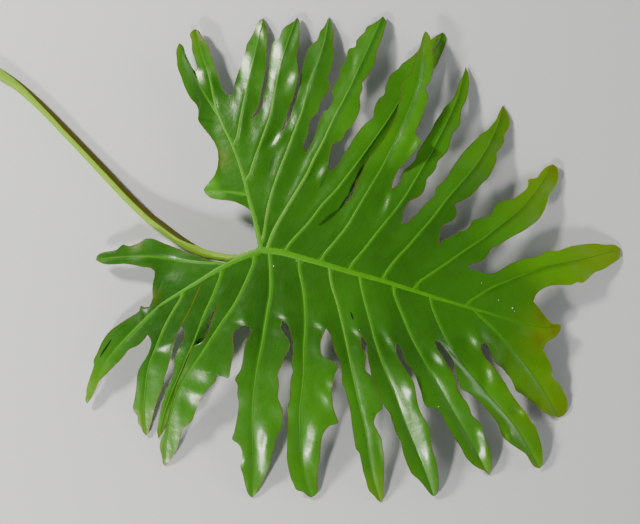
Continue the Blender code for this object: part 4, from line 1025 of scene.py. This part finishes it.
class Grower(Nodes):
    # a Geometry Nodes tree with named inputs that ends in real geometry with its material
    def __init__(self, name, inputs):
        super().__init__(bpy.data.node_groups.new(name, "GeometryNodeTree"))
        face = self.tree.interface
        face.new_socket("Geometry", in_out="INPUT", socket_type="NodeSocketGeometry")
        for key, (kind, value) in inputs.items():
            face.new_socket(key, in_out="INPUT", socket_type="NodeSocket" + kind).default_value = value
        face.new_socket("Material", in_out="INPUT", socket_type="NodeSocketMaterial")
        face.new_socket("Geometry", in_out="OUTPUT", socket_type="NodeSocketGeometry")
        self.start = self.add("NodeGroupInput").outputs

    def end(self, geometry):
        realized = self.add("GeometryNodeRealizeInstances", {"Geometry": geometry}).outputs["Geometry"]
        sockets = {"Geometry": realized, "Material": self.start["Material"]}
        painted = self.add("GeometryNodeSetMaterial", sockets).outputs["Geometry"]
        self.add("NodeGroupOutput", {"Geometry": painted})
        return self.tree


def grown(source, tree, settings, name):
    # what the tree makes of the source, as a plain mesh
    modifier = source.modifiers.new("grown", "NODES")
    modifier.node_group = tree
    for item in tree.interface.items_tree:
        if item.in_out == "INPUT" and item.name in settings:
            modifier[item.identifier] = settings[item.name]
    return flattened(source, name)


# swept pieces: a line with a width at each point, given a rounded section by Geometry Nodes


def sweepTree():
    inputs = {"Sides": ("Int", 12), "Half Width": ("Float", 1.0), "Half Height": ("Float", 1.0)}
    tree = Grower("sweepSection", inputs)
    circle = tree.add("GeometryNodeCurvePrimitiveCircle", {"Resolution": tree.start["Sides"], "Radius": 1.0})
    turn = tree.add("GeometryNodeSplineParameter").outputs["Factor"]
    sockets = {"Geometry": circle.outputs["Curve"], "Name": "around", "Value": turn}
    around = tree.add("GeometryNodeStoreNamedAttribute", sockets).outputs["Geometry"]
    sizes = {"X": tree.start["Half Width"], "Y": tree.start["Half Height"], "Z": 1.0}
    size = tree.add("ShaderNodeCombineXYZ", sizes).outputs["Vector"]
    section = tree.add("GeometryNodeTransform", {"Geometry": around, "Scale": size}).outputs["Geometry"]
    sockets = {"Curve": tree.start["Geometry"]}
    upright = tree.add("GeometryNodeSetCurveNormal", sockets, mode="Z_UP").outputs["Curve"]
    sockets = {"Curve": upright, "Profile Curve": section, "Fill Caps": True}
    sweep = tree.add("GeometryNodeCurveToMesh", sockets)
    if "Scale" in sweep.inputs:
        tree.give(sweep.inputs["Scale"], tree.add("GeometryNodeInputRadius").outputs["Radius"])
    smooth = tree.add("GeometryNodeSetShadeSmooth", {"Geometry": sweep.outputs["Mesh"]}).outputs["Geometry"]
    return tree.end(smooth)


def sweptPiece(name, tree, lines, sides, height, material):
    # each line is a list of (place, half width) in metres, and height is the section's share of that width
    curve = bpy.data.curves.new(name + "Lines", "CURVE")
    curve.dimensions = "3D"
    for points in lines:
        spline = curve.splines.new("POLY")
        spline.points.add(len(points) - 1)
        for target, (place, halfWidth) in zip(spline.points, points):
            target.co = (*place, 1.0)
            target.radius = halfWidth
    settings = {"Sides": sides, "Half Width": 1.0, "Half Height": height, "Material": material}
    return grown(addObject(name + "Lines", curve), tree, settings, name)


# "pale" says how much of the pale tone a lobe's rib has; "tones" where each tone changes along a side rib,
# as start and length, and its values before and after

ribs = {
    "lateralHalfWidth": (1.75, 0.9, 0.36), "paleHalfWidth": (2.3, 1.15, 0.36), "sides": 12,
    "halfHeight": 0.5, "sunk": 0.27, "endShort": 0.03, "clear": 7.0,
    "mainSides": 16, "mainHeight": 0.40, "mainSunk": 0.12, "mainPoints": 60,
    "pale": {"u1b": 0.6, "u2": 0.6, "u3": 0.7, "u4": 1.0, "u5": 1.0, "u6": 0.2, "u7": 0.2,
             "l9": 0.2, "l8": 0.4, "l7": 0.9, "l6": 0.2, "l5": 0.35, "l4": 0.2, "l2": 0.2},
    "tones": {"fade": (0.7, 0.3, 0.0, 0.4), "paleTone": (0.15, 0.85, 1.0, 0.0),
              "mainTone": (0.0, 0.3, 0.5, 0.0)},
}


def lateralLines(laidOut, bends):
    lines, shares = [], []
    mainPoints = np.vstack([smoothLine(rib["line"]) for rib in mainRibs.values()])
    for lobe in laidOut:
        spine = lobe.sheets[0]["place"][:, 0]
        root = mainPoints[np.argmin(np.linalg.norm(mainPoints - lobe.rib.points[0], axis=1))]
        rise = np.array([*root, plainHeight(root[None], bends)[0]])
        clear = max(2, int(np.argmax(lobe.stations > ribs["clear"])))
        spine = np.vstack([rise, spine[clear: int(len(spine) * (1 - ribs["endShort"]))]])
        share = np.linspace(0.0, 1.0, len(spine))
        widths = ribs["paleHalfWidth" if ribs["pale"].get(lobe.name) == 1.0 else "lateralHalfWidth"]
        halfWidths = np.interp(share, (0.0, 0.5, 1.0), widths)
        spine[:, 2] -= ribs["sunk"] * halfWidths
        lines.append(list(zip(placed(spine), halfWidths * mm)))
        shares.append((share, ribs["pale"].get(lobe.name, 0.0)))
    return lines, shares


def mainLines(bends):
    lines = []
    for rib in mainRibs.values():
        line = Line(smoothLine(rib["line"]))
        stations = np.linspace(0.0, line.length, ribs["mainPoints"])
        halfWidths = np.interp(stations, (0, line.length), rib["halfWidth"])
        points = line.at(stations)
        heights = plainHeight(points, bends) - ribs["mainSunk"] * halfWidths
        lines.append(list(zip(placed(np.column_stack([points, heights])), halfWidths * mm)))
    return lines


def toneByPlace(piece, lines, tones, name):
    # a tone given at the points of the lines, handed to the nearest points of the mesh
    flat = [(place, tone) for line, part in zip(lines, tones) for (place, width), tone in zip(line, part)]
    tree = KDTree(len(flat))
    for index, (place, tone) in enumerate(flat):
        tree.insert(place, index)
    tree.balance()
    giveAttribute(piece.data, name, [flat[tree.find(v.co)[1]][1] for v in piece.data.vertices])


def buildRibs(laidOut, bends, tree, material):
    lateral, shares = lateralLines(laidOut, bends)
    piece = sweptPiece("sideRibs", tree, lateral, ribs["sides"], ribs["halfHeight"], material)
    for name, (start, length, before, after) in ribs["tones"].items():
        tones = [before + (after - before) * ease((share - start) / length) for share, pale in shares]
        if name == "paleTone":
            tones = [tone * pale for tone, (share, pale) in zip(tones, shares)]
        toneByPlace(piece, lateral, tones, name)
    main = mainLines(bends)
    thick = sweptPiece("mainRibs", tree, main, ribs["mainSides"], ribs["mainHeight"], material)
    for key in ("mainTone", "paleTone"):
        tones = [np.full(len(line), mainRibs[name][key]) for name, line in zip(mainRibs, main)]
        toneByPlace(thick, main, tones, key)
    print("ribs:", len(lateral), "side ribs and", len(main), "main ribs")
    return piece, thick


# the stalk, cut at a slant, with the midrib that it runs on into under the blade

stalk = {
    "line": [(-330, 213), (-297, 197), (-262, 176), (-246.8, 166.1), (-222.7, 145), (-200.1, 122.2),
             (-155.9, 75.9), (-133.9, 52.6), (-110.6, 30.7), (-97.6, 21), (-81, 8.7), (-60, -2.5),
             (-44, -6.5), (-28, -8.5), (-12, -5), (0, 0)],
    "halfWidths": [(0, 5.4), (75, 5.3), (95, 4.8), (130, 4.8), (180, 5.05), (225, 5.5), (320, 5.4),
                   (350, 4.4), (405, 3.7)],
    "midribEnd": 1.1, "lands": 150.0, "rest": 0.85, "seat": 2.35, "step": 3.0, "sides": 28,
    "cutPlace": (-322.0, 208.0, 0.0), "cutFacing": (-0.8, 0.25, -0.55), "merged": 0.005, "sharpAngle": 0.9,
    "mapScale": 0.01,
    # where the brown with painted shade begins across the stalk, from the middle (0) to the edge (1), by
    # millimetres along it
    "brownShadeEdge": [(0, 1.3), (60, 1.2), (78, 0.85), (96, 0.63), (108, 0.5), (124, 0.26), (138, 0.18),
                  (160, 0.02), (310, 0.0), (324, 0.15), (336, 0.55), (346, 1.3), (420, 1.3)],
}


def stalkLine():
    plan, midrib = smoothLine(stalk["line"]), smoothLine(mainRibs["mid"]["line"])
    outer, whole = Line(plan), Line(np.vstack([plan, midrib[1:]]))
    stations = np.linspace(0, whole.length, round(whole.length / stalk["step"]))
    points = whole.at(stations)
    knots = [*stalk["halfWidths"], (whole.length, stalk["midribEnd"])]
    halfWidths = np.interp(stations, *zip(*knots))
    underBlade = domeAt(points) - stalk["seat"] - halfWidths
    lying = stalk["rest"] * halfWidths
    rising = ease((stations - stalk["lands"]) / (outer.length - stalk["lands"]))
    heights = lying + (underBlade - lying) * rising
    return points, heights, halfWidths, stations


def buildStalk(tree, skin, cut):
    points, heights, halfWidths, stations = stalkLine()
    line = list(zip(placed(np.column_stack([points, heights])), halfWidths * mm))
    piece = sweptPiece("stalk", tree, [line], stalk["sides"], 1.0, skin)
    mesh = piece.data
    mesh.materials.append(cut)
    work = bmesh.new()
    work.from_mesh(mesh)
    bmesh.ops.remove_doubles(work, verts=work.verts, dist=stalk["merged"] * mm)
    place, facing = Vector(placed([stalk["cutPlace"]])[0]), stalk["cutFacing"]
    everything = [*work.verts, *work.edges, *work.faces]
    made = bmesh.ops.bisect_plane(work, geom=everything, plane_co=place, plane_no=facing, clear_outer=True)
    rim = [item for item in made["geom_cut"] if isinstance(item, bmesh.types.BMEdge)]
    for face in bmesh.ops.contextual_create(work, geom=rim)["faces"]:
        face.material_index = 1
        face.smooth = False
    work.to_mesh(mesh)
    work.free()
    mesh.set_sharp_from_angle(angle=stalk["sharpAngle"])
    keepAboveFloor(piece)
    wrapStalk(piece, points, halfWidths, stations)
    print("stalk:", len(mesh.vertices), "points")
    return piece


def wrapStalk(piece, points, halfWidths, stations):
    # where each point lies along and around the stalk, and how far it is on the brown side with painted
    # shade
    mesh = piece.data
    places = np.array([v.co for v in mesh.vertices])
    plan = (places - joint)[:, :2] / mm
    nearest = np.array([np.argmin(((points - p) ** 2).sum(1)) for p in plan])
    sides = Line(points).sides(stations)
    offset = ((plan - points[nearest]) * sides[nearest]).sum(1) / halfWidths[nearest]
    along = stations[nearest]
    giveAttribute(mesh, "brownShadeSide", offset - np.interp(along, *zip(*stalk["brownShadeEdge"])))
    giveMap(mesh, "stalkMap", offset, along * stalk["mapScale"])


# specks of dust on the blade: place and size of each

specks = {"places": [(236, -50, 0.7), (250, -58, 0.9), (252, -61, 0.5), (12, -16, 0.8), (219, -33, 0.5),
                     (97, -79, 0.5), (176, -156, 0.6), (163, -44, 0.4)],
          "radius": 0.8, "near": 2.5, "above": 0.2, "turned": (6.28, 6.28, 6.28), "seed": 4}


def speckTree():
    tree = Grower("speckScatter", {"Speck Radius": ("Float", 0.0005), "Seed": ("Int", specks["seed"])})
    sockets = {"Subdivisions": 2, "Radius": tree.start["Speck Radius"]}
    grain = tree.add("GeometryNodeMeshIcoSphere", sockets).outputs["Mesh"]
    size = tree.add("GeometryNodeInputNamedAttribute", {"Name": "size"}).outputs["Attribute"]
    sockets = {"Max": specks["turned"], "Seed": tree.start["Seed"]}
    turn = tree.add("FunctionNodeRandomValue", sockets, data_type="FLOAT_VECTOR").outputs["Value"]
    sockets = {"Points": tree.start["Geometry"], "Instance": grain, "Rotation": turn, "Scale": size}
    return tree.end(tree.add("GeometryNodeInstanceOnPoints", sockets).outputs["Instances"])


def buildSpecks(leaf, material):
    spots = []
    tops = np.array([v.co for v in leaf.data.vertices])
    for x, y, size in specks["places"]:
        goal = placed([(x, y, 0)])[0]
        near = np.linalg.norm(tops[:, :2] - goal[:2], axis=1) < specks["near"] * mm
        spots.append((goal[0], goal[1], tops[near][:, 2].max() + specks["above"] * mm))
    mesh = meshFrom("speckSpots", spots, [])
    giveAttribute(mesh, "size", [size for x, y, size in specks["places"]])
    print("specks:", len(spots))
    settings = {"Speck Radius": specks["radius"] * mm, "Material": material}
    return grown(addObject("speckSpots", mesh), speckTree(), settings, "dustSpecks")


# floor, light and camera: "aim" is in millimetres from the joint, the rest in metres

studio = {
    "floorSize": 30.0, "floorHeight": -0.0003,
    "floor": {"colour": (0.80, 0.80, 0.79), "roughness": 0.85, "specular": 0.2},
    "aim": (58.0, -12.0, 25.0), "distance": 5.0, "frameWidth": 0.638, "sensor": 36.0, "clipEnd": 100.0,
    "room": (0.94, 0.97, 1.0), "fade": (0.35, 0.75), "walls": 0.70, "ceiling": 0.05,
    "lights": {
        "key": {"from": (-1.08, 0.82, 0.85), "size": 0.22, "power": 24.5, "colour": (1.0, 0.98, 0.94)},
        "low": {"from": (-0.87, -1.04, 0.85), "size": 0.20, "power": 17.0, "colour": (1.0, 0.99, 0.96)},
        "side": {"from": (1.90, 0.40, 0.72), "size": 1.0, "power": 10.0, "colour": (0.95, 0.98, 1.0)},
    },
}


def buildFloor():
    half, low = studio["floorSize"] / 2, studio["floorHeight"]
    corners = [(-half, -half, low), (half, -half, low), (half, half, low), (-half, half, low)]
    floor = addObject("floor", meshFrom("floor", corners, [(0, 1, 2, 3)]))
    floor.data.materials.append(Skin("paleFloor", studio["floor"]).paint(studio["floor"]["colour"]))


def buildStudio():
    aim = Vector(placed([studio["aim"]])[0])
    lens = bpy.data.cameras.new("camera")
    lens.sensor_width = studio["sensor"]
    lens.lens = lens.sensor_width * studio["distance"] / studio["frameWidth"]
    lens.clip_end = studio["clipEnd"]
    camera = addObject("camera", lens)
    camera.location = aim + Vector((0.0, 0.0, studio["distance"]))
    bpy.context.scene.camera = camera
    for name, look in studio["lights"].items():
        light = bpy.data.lights.new(name, "AREA")
        light.shape = "SQUARE"
        light.size, light.energy, light.color = look["size"], look["power"], look["colour"]
        lamp = addObject(name, light)
        lamp.location = aim + Vector(look["from"])
        lamp.rotation_euler = (aim - lamp.location).to_track_quat("-Z", "Y").to_euler()
    bpy.context.scene.world = roomWorld()


def roomWorld():
    # pale walls round a dim ceiling, so that level leaf stays deep green
    world = bpy.data.worlds.new("room")
    world.use_nodes = True
    room = Nodes(world.node_tree)
    background = room.tree.nodes["Background"].inputs
    facing = room.add("ShaderNodeTexCoord").outputs["Generated"]
    upward = room.add("ShaderNodeSeparateXYZ", {"Vector": facing}).outputs["Z"]
    room.give(background["Color"], studio["room"])
    room.give(background["Strength"], room.ramp(upward, *studio["fade"], studio["walls"], studio["ceiling"]))
    return world


def build():
    outline = bandOutline()
    laidOut = layOutLobes(outline)
    bends = shapeSheets(laidOut)
    leaf = buildBlade(laidOut, outline, bends, leafMaterial(), undersideMaterial())
    tree = sweepTree()
    sideRibs, thickRibs = buildRibs(laidOut, bends, tree, ribMaterial())
    stem = buildStalk(tree, stalkMaterial(), cutMaterial())
    dust = buildSpecks(leaf, dustMaterial())
    for piece in (leaf, sideRibs, thickRibs, stem, dust):
        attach(piece, "root")
    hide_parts("leaf_blade")
    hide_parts("petiole")
    buildFloor()
    buildStudio()
    print("floor, lights and camera set")


build()
